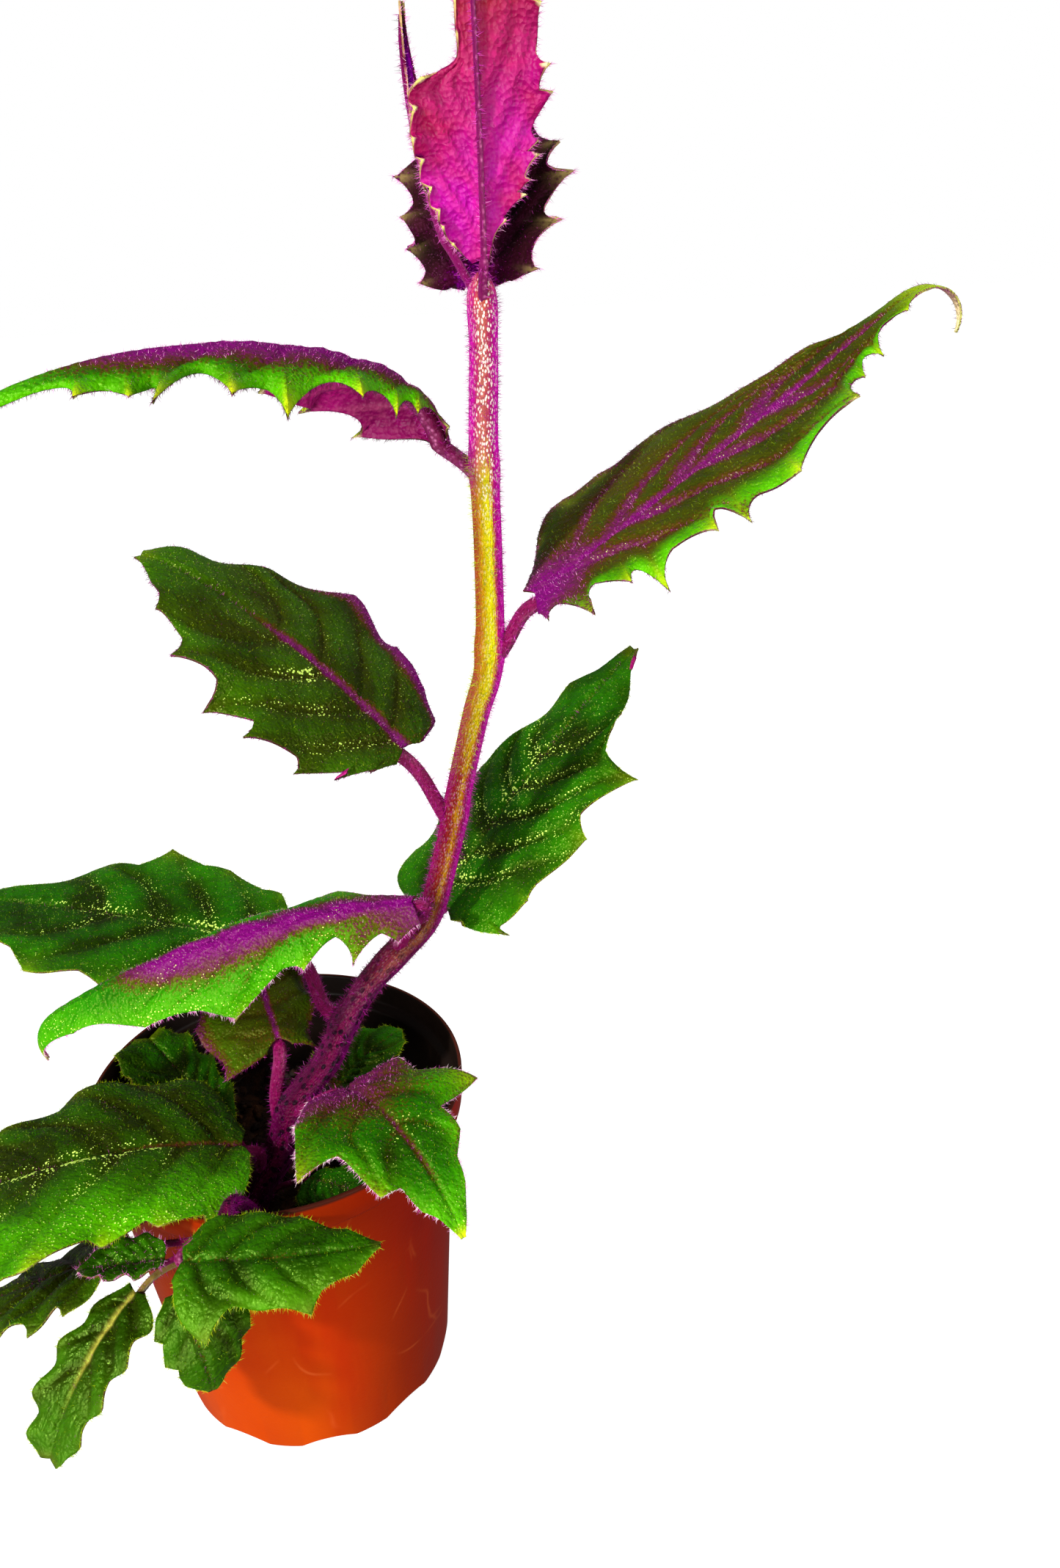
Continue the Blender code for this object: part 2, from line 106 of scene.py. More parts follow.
STEM_STEP = 1.3

# What a leaf has where its row doesn't say otherwise: its stem; how its width grows from the base and fades to
# the tip; roll from base to tip; curl of its halves; bend of the tip and where it starts; arch of its base; how
# far its halves sweep forward at base and tip; where its rib ends and how thick it is. Then its teeth: how far
# from one tooth to the next a tip stands (a half is even, more leans forward); their form on the left and on
# the right margin (1, round bays between drawn-out tips; 0, straight sides; -1, rounded lobes); degrees by
# which they turn down; how far they point forward, as a share of their reach. Then its side veins on each half
# and how many times further they run forward than out; and the tones of the hairs on its upper face, along its
# margins and below: under 0.3 green, then purple to white.
USUAL_LEAF = dict(
    stem="main", growth=(0.45, 0.95), roll=(0, 0), curl=0, hook=0, bend_from=0.82, arch=0, sweep=(-0.3, 0.28),
    rib_to=0.95, rib_size=0.8, lean=0.72, form=(0.6, 0.6), turn=(8, 8), point=(0.3, 0.3), veins=(5, 0.95),
    tones=(0.1, 0.2, 0.36))
# One row a leaf: the place where its stalk leaves the stem (a height, or a share of the side stem), where its
# blade starts, heading and rise from base to tip, length, greatest half widths left and right of the midrib,
# fold of the halves, radius of the stalk, and how many teeth and how deep where TEETH has no row for it.
LEAF_ROWS = {
    "leaf_upper_left": dict(
        leaves_at=283, base=(65, 3, 290), heading=(220, 192), rise=(36, -26), length=124, half=(22, 20),
        fold=(-23, -33), stalk=2.0, roll=(4, 0), curl=-10, hook=-15, arch=40, lean=0.55, form=(1, 1),
        turn=(15, 15), veins=(5, 1.2), tones=(0.12, 0.32, 0.6)),
    "leaf_upper_right": dict(
        leaves_at=238, base=(84, -1, 252), heading=(17, 20), rise=(30, 33), length=143, half=(31, 32),
        fold=(-3, 0), stalk=2.0, roll=(6, 0), hook=-150, bend_from=0.8, sweep=(-0.35, 0), rib_to=0.74,
        lean=0.6, form=(-0.3, 0.9), point=(0.2, -0.1), veins=(4, 2.5), tones=(0.12, 0.32, 0.4)),
    "leaf_middle_left": dict(
        leaves_at=192, base=(48, -2, 213), heading=(155, 163), rise=(46, 24), length=86, half=(34, 32),
        fold=(-3, -1), stalk=2.0, roll=(-1, -3), hook=-15, form=(0.7, 0.7), turn=(30, 10), veins=(4, 0.85),
        tones=(0.08, 0.32, 0.4)),
    "leaf_back_right": dict(
        leaves_at=148, base=(53, 15, 157), heading=(38, 37), rise=(43, 29), length=95, half=(29, 31),
        fold=(-6, -2), stalk=1.9, roll=(-5, 1), sweep=(-0.42, 0.28)),
    "leaf_back_left": dict(
        leaves_at=130, base=(1, 27, 136), heading=(166, 162), rise=(10, -6), length=116, half=(31, 32),
        fold=(5, 7), stalk=2.2, roll=(-5, 2), curl=-5, lean=0.6, form=(0.2, 0.2), veins=(4, 1.0)),
    "leaf_front_left": dict(
        leaves_at=153, base=(47, -14, 174), heading=(182, 173), rise=(-1, -39), length=128, half=(15, 23),
        fold=(-27, -32), stalk=1.9, roll=(-19, -17), curl=-10, hook=-84, bend_from=0.84, lean=0.5,
        form=(0.6, 0.1), veins=(5, 1.4), tones=(0.16, 0.85, 0.6)),
    "leaf_inner_left": dict(
        leaves_at=103, base=(4, -6, 126), heading=(112, 105), rise=(24, -25), length=69, half=(25, 20),
        fold=(-13, -14), stalk=2.1, roll=(2, 1), curl=-8, sweep=(-0.6, 0.28), point=(-0.6, -0.6),
        tones=(0.1, 0.36, 0.4)),
    "leaf_lower_left": dict(
        leaves_at=88, base=(-6, -26, 105), heading=(198, 189), rise=(24, -34), length=102, half=(31, 33),
        fold=(-4, 10), stalk=1.8, roll=(8, 12), curl=-6, form=(-0.2, -0.2), veins=(4, 0.9)),
    "leaf_front_right": dict(
        leaves_at=107, base=(25, -24, 121), heading=(-53, -55), rise=(25, -50), length=61, half=(25, 26),
        fold=(3, 3), stalk=1.7, roll=(2, 0), curl=-10, hook=-10, sweep=(-0.4, 0.2), lean=0.55,
        form=(-0.1, -0.1), point=(0.3, 1.6), veins=(3, 1.0), tones=(0.16, 0.9, 0.6)),
    "leaf_inner_back": dict(
        leaves_at=82, base=(-19, 3, 89), heading=(140, 136), rise=(28, 20), length=38, half=(14, 13),
        fold=(6, 4), stalk=1.1, teeth=(3, 2), roll=(8, 8)),
    "leaf_low_right": dict(
        leaves_at=83, base=(10, -21, 87), heading=(-38, -32), rise=(24, -8), length=25, half=(9, 9),
        fold=(-8, -7), stalk=1.0, teeth=(3, 1.6), growth=(0.45, 0.9), curl=-6),
    "leaf_back_low": dict(
        leaves_at=94, base=(14, 8, 96), heading=(43, 41), rise=(22, 2), length=29, half=(14, 14),
        fold=(4, 6), stalk=1.1, teeth=(3, 2), roll=(-2, -2)),
    "leaf_tip_front": dict(
        leaves_at=321, base=(76, -6, 329), heading=(-80, -86), rise=(76, 86), length=68, half=(15, 15),
        fold=(2, 8), stalk=1.15, rib_size=0.3, form=(0.8, 0.8), turn=(35, 95), veins=(4, 2.2),
        tones=(0.6, 0.75, 0.6)),
    "leaf_tip_back": dict(
        leaves_at=317, base=(75, 9, 324), heading=(75, 83), rise=(75, 55), length=50, half=(21, 23),
        fold=(3, 12), stalk=1.6, roll=(-14, -12), sweep=(-0.45, 0.28), lean=0.55, form=(0.9, 0.9),
        turn=(15, 15), tones=(0.45, 0.7, 0.6)),
    "leaf_tip_side": dict(
        leaves_at=323, base=(69, 4, 333), heading=(145, 150), rise=(68, 92), length=47, half=(8, 8),
        fold=(34, 34), stalk=1.1, teeth=(4, 1.6), roll=(-20, -18), curl=15, turn=(60, 60),
        tones=(0.6, 0.8, 0.6)),
    "leaf_shoot_right": dict(
        stem="side", leaves_at=0.86, base=(-12, -71, 109), heading=(-6, 8), rise=(2, 0), length=49,
        half=(14, 16), fold=(-4, -10), stalk=1.1, roll=(12, 6), curl=-8, form=(0.5, 0.5), veins=(3, 1.0)),
    "leaf_shoot_under": dict(
        stem="side", leaves_at=0.95, base=(-14, -73, 100), heading=(-60, -50), rise=(-20, -100), length=28,
        half=(15, 9), fold=(-2, -16), stalk=1.0, roll=(8, 6), curl=-6, form=(0, 0), veins=(2, 1.0)),
    "leaf_shoot_hanging": dict(
        stem="side", leaves_at=1.0, base=(-27, -68, 96), heading=(232, 236), rise=(-16, -62), length=43,
        half=(14, 12), fold=(4, 5), stalk=1.0, roll=(0, -3), lean=0.5, form=(-0.8, -0.8), veins=(3, 1.2)),
    "leaf_shoot_left": dict(
        stem="side", leaves_at=0.92, base=(-34, -58, 100), heading=(182, 180), rise=(-20, -24), length=50,
        half=(18, 18), fold=(-2, -9), stalk=1.0, teeth=(5, 3), growth=(0.5, 0.95), roll=(13, 9), curl=-6,
        veins=(3, 1.0)),
    "leaf_shoot_young": dict(
        stem="side", leaves_at=0.97, base=(-18, -67, 106), heading=(186, 182), rise=(4, -10), length=22,
        half=(7, 7), fold=(16, 16), stalk=0.8, teeth=(3, 1.4), growth=(0.5, 0.9), tones=(0.6, 0.8, 0.6)),
}
LEAVES = {name: {**USUAL_LEAF, **row} for name, row in LEAF_ROWS.items()}

# Half widths in millimetres along the left and the right margin, for leaves whose outline is their own.
OUTLINES = {
    "leaf_upper_left": (
        ((0, 3), (0.06, 6), (0.15, 9), (0.25, 14), (0.35, 16), (0.42, 17), (0.5, 17), (0.57, 14),
         (0.62, 14.5), (0.7, 11), (0.82, 6.5), (0.92, 3.5), (1, 1)),
        ((0, 4), (0.08, 14), (0.2, 20), (0.33, 19), (0.4, 13.5), (0.5, 10.5), (0.6, 8), (0.7, 5), (0.85, 3),
         (1, 1))),
    "leaf_upper_right": (
        ((0, 4), (0.04, 11), (0.1, 20), (0.155, 28), (0.21, 34), (0.27, 36), (0.315, 35), (0.38, 33),
         (0.45, 31), (0.5, 28), (0.57, 22), (0.63, 13.5), (0.71, 9), (0.8, 4.5), (0.87, 2.4), (0.94, 1.6),
         (1, 0.3)),
        ((0, 8), (0.047, 15), (0.084, 19), (0.178, 19), (0.22, 24), (0.283, 26), (0.336, 24), (0.378, 27),
         (0.44, 31), (0.472, 29), (0.545, 27), (0.61, 22), (0.64, 15), (0.67, 11), (0.7, 9), (0.73, 6.3),
         (0.8, 4.2), (0.86, 2.5), (0.94, 1.6), (1, 0.3))),
    "leaf_middle_left": (
        ((0, 6), (0.05, 16), (0.12, 25), (0.2, 30), (0.3, 33), (0.4, 33), (0.5, 31), (0.58, 28), (0.7, 21),
         (0.82, 14), (0.93, 6), (1, 2)),
        ((0, 4), (0.02, 13), (0.05, 18.5), (0.08, 21), (0.2, 26), (0.35, 31), (0.46, 35), (0.52, 33),
         (0.62, 24), (0.78, 16), (0.9, 10), (0.96, 7), (1, 3))),
    "leaf_back_right": (
        ((0, 16), (0.06, 26), (0.12, 27), (0.2, 26), (0.3, 25), (0.4, 24.5), (0.5, 22), (0.6, 16.5),
         (0.7, 13), (0.8, 10), (0.9, 7), (0.96, 4.5), (1, 2)),
        ((0, 8), (0.03, 18), (0.08, 25), (0.15, 29), (0.25, 31), (0.4, 31), (0.5, 29), (0.58, 25.5),
         (0.66, 21.5), (0.75, 18), (0.82, 14.5), (0.88, 11), (0.94, 7), (1, 2))),
    "leaf_back_left": (
        ((0, 12), (0.1, 24), (0.3, 32), (0.5, 34), (0.65, 26), (0.8, 15), (0.9, 8), (1, 0.5)),
        ((0, 8), (0.1, 19), (0.2, 25), (0.32, 28.5), (0.45, 30), (0.54, 26), (0.62, 22), (0.7, 16),
         (0.76, 10), (0.8, 8), (0.9, 5), (1, 0.5))),
    "leaf_front_left": (
        ((0, 6), (0.04, 10), (0.08, 11), (0.11, 9), (0.15, 10), (0.19, 8), (0.25, 12), (0.3, 16),
         (0.375, 21), (0.45, 21), (0.55, 18), (0.65, 13.5), (0.75, 9.5), (0.85, 7), (0.93, 5), (1, 1)),
        ((0, 4), (0.1, 14), (0.25, 21), (0.35, 17), (0.45, 11), (0.55, 7), (0.7, 5), (0.85, 4), (1, 1))),
    "leaf_lower_left": (
        ((0, 4), (0.05, 19), (0.12, 28), (0.2, 31), (0.28, 31), (0.38, 32), (0.46, 35), (0.53, 40),
         (0.62, 39), (0.75, 29), (0.87, 17), (1, 0.5)),
        ((0, 5), (0.04, 16), (0.1, 25), (0.2, 30), (0.35, 31), (0.45, 29.5), (0.55, 24), (0.65, 19),
         (0.8, 12), (0.9, 7), (1, 0.5))),
    "leaf_front_right": (
        ((0, 9), (0.1, 16), (0.2, 20), (0.3, 20), (0.42, 19), (0.5, 15.5), (0.6, 12.5), (0.7, 9), (0.8, 6),
         (0.9, 4), (1, 0.5)),
        ((0, 10), (0.06, 15), (0.13, 18), (0.2, 19.5), (0.28, 23), (0.36, 26), (0.42, 24), (0.47, 19),
         (0.55, 15), (0.63, 12), (0.72, 9), (0.8, 6), (0.9, 3.5), (1, 0.5))),
    "leaf_inner_left": (
        ((0, 4), (0.05, 15), (0.12, 19), (0.25, 21), (0.5, 18), (0.75, 11), (1, 0.5)),
        ((0, 4), (0.04, 8), (0.12, 12), (0.3, 15), (0.5, 14.5), (0.75, 9), (1, 0.5))),
    "leaf_inner_back": (
        ((0, 5), (0.15, 13), (0.4, 16), (0.7, 16), (0.9, 12), (1, 5)),
        ((0, 4), (0.2, 9), (0.5, 11), (0.8, 10), (0.92, 8), (1, 5))),
    "leaf_tip_front": (
        ((0, 1.8), (0.09, 3.3), (0.14, 5.5), (0.21, 9), (0.31, 11.2), (0.38, 11.8), (0.45, 14),
         (0.52, 13.6), (0.6, 14.2), (0.68, 12), (0.76, 9.5), (0.86, 5), (1, 0.5)),
        ((0, 2), (0.05, 6), (0.09, 8.5), (0.14, 10), (0.21, 12.5), (0.31, 14.4), (0.42, 15.5),
         (0.505, 15.5), (0.525, 9), (0.55, 4), (0.72, 4), (0.85, 3), (1, 0.5))),
    "leaf_tip_back": (
        ((0, 4), (0.03, 9), (0.08, 14), (0.14, 15), (0.2, 17), (0.3, 18.5), (0.45, 19), (0.53, 19),
         (0.58, 15), (0.7, 11), (0.85, 6), (1, 0.5)),
        ((0, 4), (0.03, 9), (0.08, 13), (0.15, 16), (0.25, 18.5), (0.35, 20), (0.45, 20.5), (0.52, 19),
         (0.58, 15), (0.65, 12), (0.75, 9), (0.85, 6), (1, 0.5))),
    "leaf_tip_side": (
        ((0, 1.5), (0.3, 6), (0.5, 5), (0.62, 3), (0.7, 1.4), (1, 0.4)),
        ((0, 1.5), (0.3, 6), (0.5, 5), (0.62, 3), (0.7, 1.4), (1, 0.4))),
    "leaf_shoot_right": (
        ((0, 5), (0.08, 11), (0.2, 14), (0.35, 14.5), (0.5, 13.5), (0.65, 10), (0.8, 6.5), (0.92, 3),
         (1, 0.5)),
        ((0, 6), (0.08, 14), (0.16, 16), (0.24, 15), (0.35, 13), (0.5, 13), (0.62, 12), (0.75, 8.5),
         (0.9, 4), (1, 0.5))),
    "leaf_shoot_under": (
        ((0, 8), (0.1, 17), (0.2, 21), (0.28, 20), (0.38, 15.5), (0.5, 12.5), (0.65, 10), (0.8, 6), (0.92, 3),
         (1, 1)),
        ((0, 4), (0.15, 8), (0.4, 9), (0.7, 7), (0.9, 4), (1, 1))),
    "leaf_shoot_hanging": (
        ((0, 3), (0.08, 9), (0.2, 11), (0.45, 10.5), (0.6, 10), (0.75, 8), (0.88, 6.5), (0.96, 5), (1, 3)),
        ((0, 3), (0.1, 5.5), (0.25, 7), (0.45, 9), (0.6, 9), (0.75, 8), (0.88, 7), (0.96, 5), (1, 3))),
}
# The teeth that stand out, on the left margin and on the right one: how far along the leaf, and their reach.
TEETH = {
    "leaf_upper_left": (
        ((0.05, 5), (0.15, 7), (0.21, 8), (0.3, 9), (0.425, 13), (0.51, 11), (0.605, 22), (0.668, 2.5),
         (0.735, 8)),
        ((0.13, 6), (0.27, 9), (0.385, 6), (0.47, 8), (0.7, 2), (0.88, 1))),
    "leaf_upper_right": (
        ((0.13, 1.5), (0.22, 2.5), (0.31, 1.5), (0.41, 3), (0.56, 1.5), (0.67, 1.5)),
        ((0.01, 5), (0.088, 17), (0.165, 4), (0.208, 11), (0.32, 6), (0.368, 9), (0.47, 4), (0.61, 9),
         (0.66, 2.5), (0.71, 6), (0.8, 3.7))),
    "leaf_middle_left": (
        ((0.035, 4), (0.09, 8), (0.2, 5), (0.345, 6), (0.465, 7), (0.62, 6), (0.77, 3)),
        ((0.04, 1.5), (0.15, 1.5), (0.29, 2.5), (0.47, 3), (0.67, 2.5), (0.85, 1.5))),
    "leaf_back_right": (
        ((0.16, 2), (0.45, 2), (0.78, 2)),
        ((0.016, 4), (0.082, 7), (0.2, 3), (0.4, 4), (0.58, 11))),
    "leaf_back_left": (
        ((0.15, 3), (0.35, 4), (0.55, 4), (0.75, 3), (0.88, 2)),
        ((0.1, 3), (0.28, 3), (0.45, 9), (0.625, 7), (0.86, 1.5))),
    "leaf_front_left": (
        ((0.05, 2), (0.125, 10), (0.24, 6), (0.37, 13), (0.62, 1.5), (0.8, 1)),
        ((0.2, 2), (0.36, 2.5), (0.52, 2), (0.7, 2))),
    "leaf_inner_left": (
        ((0.05, 6), (0.3, 3), (0.55, 3), (0.8, 2)),
        ((0.05, 5), (0.3, 4), (0.55, 3), (0.8, 2))),
    "leaf_lower_left": (
        ((0.15, 7), (0.27, 3), (0.38, 3), (0.5, 5), (0.72, 4), (0.86, 2)),
        ((0.12, 2.5), (0.28, 2.5), (0.45, 3), (0.63, 2.5), (0.82, 1.5))),
    "leaf_front_right": (
        ((0.1, 1.5), (0.37, 14), (0.6, 1.5), (0.8, 1)),
        ((0.08, 1), (0.2, 0.8), (0.355, 5), (0.62, 3), (0.8, 1))),
    "leaf_tip_front": (
        ((0.125, 3), (0.2, 3.5), (0.25, 1.5), (0.31, 3.5), (0.345, 2), (0.465, 2.5), (0.525, 5), (0.67, 3),
         (0.8, 2)),
        ((0.07, 3), (0.13, 3), (0.18, 3.5), (0.24, 3), (0.31, 4), (0.37, 3), (0.44, 4), (0.505, 5),
         (0.62, 1.5), (0.7, 2), (0.85, 2))),
    "leaf_tip_back": (
        ((0.02, 4), (0.085, 3), (0.24, 7), (0.36, 3), (0.5, 5), (0.7, 1.5)),
        ((0.03, 4), (0.1, 3.5), (0.265, 6), (0.41, 6.5), (0.51, 3), (0.65, 1.5), (0.8, 1.5))),
    "leaf_shoot_right": (
        ((0.3, 1.5), (0.55, 1.5), (0.8, 1)),
        ((0.2, 6), (0.62, 3.5), (0.85, 1))),
    "leaf_shoot_under": (
        ((0.22, 5), (0.55, 1.5), (0.8, 1.5)),
        ((0.3, 2), (0.55, 2.5), (0.8, 1.5))),
    "leaf_shoot_hanging": (
        ((0.14, 2), (0.36, 2), (0.56, 2.5), (0.8, 2)),
        ((0.2, 1.5), (0.42, 2), (0.68, 2), (0.88, 1.5))),
}

# A blade's thickness, the least radius of its rib and the least half width of its tip.
BLADE = 0.55
RIB_LEAST = 0.35
TIP_LEAST = 0.25
# Where regular teeth start and end along a blade, and how deep the bays cut, as a share of the teeth's reach.
TEETH_FROM = 0.09
TEETH_TO = 0.94
NOTCH_SHARE = 0.35
# Degrees by which teeth of one margin differ in their turn.
TURN_SPREAD = 14
# Height of the cushions between veins, of the lumps on them and of the waves of a margin, and depth of the
# grooves over side veins and midrib.
QUILT = 0.95
LUMPS = 0.22
SHOOT_LUMPS = 0.1
MARGIN_WAVE = 1.3
VEIN_GROOVE = 0.5
RIB_GROOVE = 0.45
# Where the first side vein starts, how far along they all start, and how much later the right ones do.
VEINS_FROM = 0.03
VEINS_SPAN = 0.62
RIGHT_VEINS_LATER = 0.035
ARCH_TO = 0.3
MIDRIB_STEPS = 96
# How a stalk bends: the reach of its leaving and arriving ends, how much it rises with the stem, and its sides.
STALK_LEAVE = 0.42
STALK_ARRIVE = 0.38
STALK_SLANT = 0.8
STALK_SIDES = 16

# How a leaf is coloured: purple hairs along the midrib, along the side veins, at the base, along each margin
# and over a raised middle, with how far they spread and where they fade; painted light, a bright green on each
# margin that stands in for light shining through the blade, and at the tip, and how far in it starts; pale
# teeth and a pale rib; how light its green is, and how much olive is in it; painted glints, pale highlight
# spots all over, beside the rib and where the painted light is, and where along the leaf and on which half they
# show.
PLAIN = dict(
    rib=0.2, veins=0.0, base=0.1, base_reach=0.3, ridge=0, ridge_reach=0.45, edges=(0, 0), spread=0.5,
    fades=1.0, vein_width=0.7, glow=(0.1, 0.1), glow_from=0.4, tip=0.1, tip_from=0.93, teeth=0.1, pale_rib=0,
    pale=False, light=0.4, olive=0.1, glint=0.8, rib_glint=0.6, glow_glint=0, glint_span=(0, 1),
    glint_halves=(1, 1))
LOOKS = {
    "leaf_upper_left": dict(
        rib=1.0, veins=0.5, base=0.9, base_reach=0.35, ridge=1.0, ridge_reach=0.62, fades=0.9,
        glow=(0.9, 0.6), glow_from=0.5, tip=0.9, teeth=1.0, light=0.5, spread=1.5, glint=0.6),
    "leaf_upper_right": dict(
        rib=0.85, veins=0.78, vein_width=3.2, base=0.9, edges=(0.5, 0), fades=0.95, spread=1.9,
        glow=(0.1, 0.8), glow_from=0.68, tip=0.9, tip_from=0.74, teeth=0.6, light=0.2, olive=1.0),
    "leaf_middle_left": dict(
        rib=0.8, veins=0.2, base=0.2, edges=(0.1, 0.9), fades=0.72, spread=1.5, glow=(0.05, 0), teeth=0.0,
        light=0.2, olive=0.5, glint=1.0, glint_span=(0, 0.55), glint_halves=(1.4, 0.6)),
    "leaf_back_right": dict(light=0.22, olive=0.1, glint=1.1),
    "leaf_back_left": dict(light=0.22, olive=0.12, rib=0.15, glint=0.9, rib_glint=0.9),
    "leaf_front_left": dict(
        rib=1.0, veins=0.45, base=0.75, base_reach=0.4, ridge=1.0, fades=0.8, glow=(0.4, 0.3),
        glow_from=0.35, tip=0.6, teeth=0.2, light=0.9, spread=1.4, glint=1.0, glow_glint=1.0),
    "leaf_inner_left": dict(
        rib=0.8, veins=0.3, base=0.3, light=0.1, olive=0.8, edges=(0.5, 0.5), glint=0.3),
    "leaf_lower_left": dict(
        rib=0.45, base=0.1, light=0.12, olive=0.3, glow=(0.7, 0), glow_from=0.1, fades=0.5, glint=1.0,
        rib_glint=1.3, glow_glint=0.6, glint_span=(0.2, 1), glint_halves=(1, 0.6)),
    "leaf_front_right": dict(
        rib=0.5, veins=0.3, base=0.72, base_reach=0.62, edges=(0.3, 0.3), glow=(0.4, 0.3), glow_from=0.45,
        tip=0.9, teeth=0.3, olive=0.15, fades=0.9, light=0.42, glint=0.6, glow_glint=0.9),
    "leaf_tip_front": dict(teeth=1.0, glint=0.3),
    "leaf_tip_back": dict(teeth=0.5, base=0.6, veins=0.4, rib=0.5, edges=(0.3, 0.3), glint=0.05),
    "leaf_tip_side": dict(teeth=0.5, base=1.0, rib=1.0, ridge=0.9, tip=0.25, glint=0.2),
    "leaf_shoot_hanging": dict(
        rib=0, light=0.3, olive=0.3, pale=True, pale_rib=0.8, glow=(0.1, 0.2), glint=0.25),
    "leaf_shoot_left": dict(light=0.12, rib=0.3, olive=0.35, glint=0.4),
    "leaf_shoot_right": dict(light=0.3, glow=(0.1, 0.4), glow_from=0.2, glint=0.35),
    "leaf_shoot_under": dict(light=0.2, olive=0.2, glint=0.3),
    "leaf_inner_back": dict(light=0.05, glint=0.3),
    "leaf_back_low": dict(light=0.05, base=0.4, glint=0.3),
    "leaf_low_right": dict(light=0.2, glint=0.5),
}


def srgb(red, green, blue):
    """A display colour, 0 to 255, in Blender's linear values."""
    shares = (red / 255, green / 255, blue / 255)
    return tuple(((c + 0.055) / 1.055) ** 2.4 if c > 0.0404 else c / 12.92 for c in shares) + (1,)


# Small helpers for meshes.


def fresh_primitive(name, adder, **settings):
    """Adds a primitive with nothing else selected, and names it."""
    bpy.ops.object.select_all(action="DESELECT")
    adder(**settings)
    piece = bpy.context.object
    piece.name = piece.data.name = name
    return piece


def points_of(piece):
    found = np.empty(len(piece.data.vertices) * 3)
    piece.data.vertices.foreach_get("co", found)
    return found.reshape(-1, 3)


def set_points(piece, points):
    """Puts a mesh's vertices at points in millimetres."""
    piece.data.vertices.foreach_set("co", (points * MM).astype(np.float32).ravel())
    piece.data.update()


def shaped_grid(name, rows, columns, place):
    """A grid primitive of rows x columns points, each put at place[row, column], with its UV map."""
    piece = fresh_primitive(
        name, bpy.ops.mesh.primitive_grid_add, x_subdivisions=rows - 1, y_subdivisions=columns - 1,
        size=2)
    set_points(piece, place.transpose(1, 0, 2).reshape(-1, 3))
    return piece


def write_values(piece, name, values):
    """A number at each vertex, which the materials read by name."""
    attribute = piece.data.attributes.new(name, "FLOAT", "POINT")
    attribute.data.foreach_set("value", np.asarray(values, np.float32).ravel())


def apply_modifier(piece, kind, **settings):
    bpy.context.view_layer.objects.active = piece
    modifier = piece.modifiers.new("Finish", kind)
    for key, value in settings.items():
        setattr(modifier, key, value)
    bpy.ops.object.modifier_apply(modifier=modifier.name)


def edit(piece, *operators):
    """Runs edit-mode operators on all of a piece."""
    bpy.ops.object.select_all(action="DESELECT")
    piece.select_set(True)
    bpy.context.view_layer.objects.active = piece
    bpy.ops.object.mode_set(mode="EDIT")
    bpy.ops.mesh.select_all(action="SELECT")
    for operator, settings in operators:
        operator(**settings)
    bpy.ops.object.mode_set(mode="OBJECT")


def joined(pieces):
    """The pieces as one, under the first one's name."""
    bpy.ops.object.select_all(action="DESELECT")
    for piece in pieces:
        piece.select_set(True)
    bpy.context.view_layer.objects.active = pieces[0]
    bpy.ops.object.join()
    return pieces[0]


def finish_piece(piece, nodes, finishes=()):
    """Smooth shading, materials, and the piece's place in the object's table."""
    for finish in finishes:
        piece.data.materials.append(finish)
    piece.data.shade_smooth()
    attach(piece, "root")
    if nodes:
        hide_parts(*nodes)
    return piece


# Shapes that follow a line.


def smooth_path(points, step):
    """Points along a Catmull-Rom curve through rows of x, y, z, radius."""
    rows = np.array(points, float)
    ends = np.concatenate([[2 * rows[0] - rows[1]], rows, [2 * rows[-1] - rows[-2]]])
    found = []
    for i in range(1, len(ends) - 2):
        a, b, c, d = ends[i - 1 : i + 3]
        count = max(1, round(np.linalg.norm((c - b)[:3]) / step))
        for t in np.arange(count) / count:
            found.append(0.5 * (2 * b + (c - a) * t + (2 * a - 5 * b + 4 * c - d) * t**2
                                + (3 * b - a - 3 * c + d) * t**3))
    found.append(rows[-1])
    return np.array(found)


def unit(vectors):
    return vectors / np.maximum(np.linalg.norm(vectors, axis=-1, keepdims=True), 1e-9)


def frames_along(line, first_side):
    """Two directions across a line, carried along it with no twist."""
    forward = unit(np.gradient(line, axis=0))
    sides = []
    side = np.array(first_side, float)
    for heading in forward:
        side = side - heading * (side @ heading)
        side /= np.linalg.norm(side)
        sides.append(side)
    sides = np.array(sides)
    return sides, np.cross(forward, sides)


def tube_points(line, radii, sides, first_side, relief=None):
    """Points of a tube round a line, rows x (sides + 1), whose last column lies on its first."""
    side, high = frames_along(line, first_side)
    angle = np.linspace(0, 2 * math.pi, sides + 1)
    radius = np.asarray(radii)[:, None] * np.ones(sides + 1)
    if relief is not None:
        radius = radius + relief
    ring = side[:, None] * np.cos(angle)[None, :, None] + high[:, None] * np.sin(angle)[None, :, None]
    return line[:, None] + ring * radius[..., None], ring


def tube_piece(name, points):
    """A closed tube from a grid: its seam is merged and its ends are filled."""
    piece = shaped_grid(name, len(points), points.shape[1], points)
    edit(piece, (bpy.ops.mesh.remove_doubles, dict(threshold=1e-6)))
    bpy.ops.object.mode_set(mode="EDIT")
    bpy.ops.mesh.select_all(action="DESELECT")
    bpy.ops.mesh.select_non_manifold(extend=False)
    bpy.ops.mesh.fill_holes(sides=0)
    bpy.ops.mesh.select_all(action="SELECT")
    bpy.ops.mesh.normals_make_consistent(inside=False)
    bpy.ops.object.mode_set(mode="OBJECT")
    return piece


# Leaves.


def direction(heading, rise):
    h, r = np.radians(heading), np.radians(rise)
    return np.stack([np.cos(r) * np.cos(h), np.cos(r) * np.sin(h), np.sin(r)], -1)


def up_side(heading, rise):
    h, r = np.radians(heading), np.radians(rise)
    return np.stack([-np.sin(r) * np.cos(h), -np.sin(r) * np.sin(h), np.cos(r)], -1)


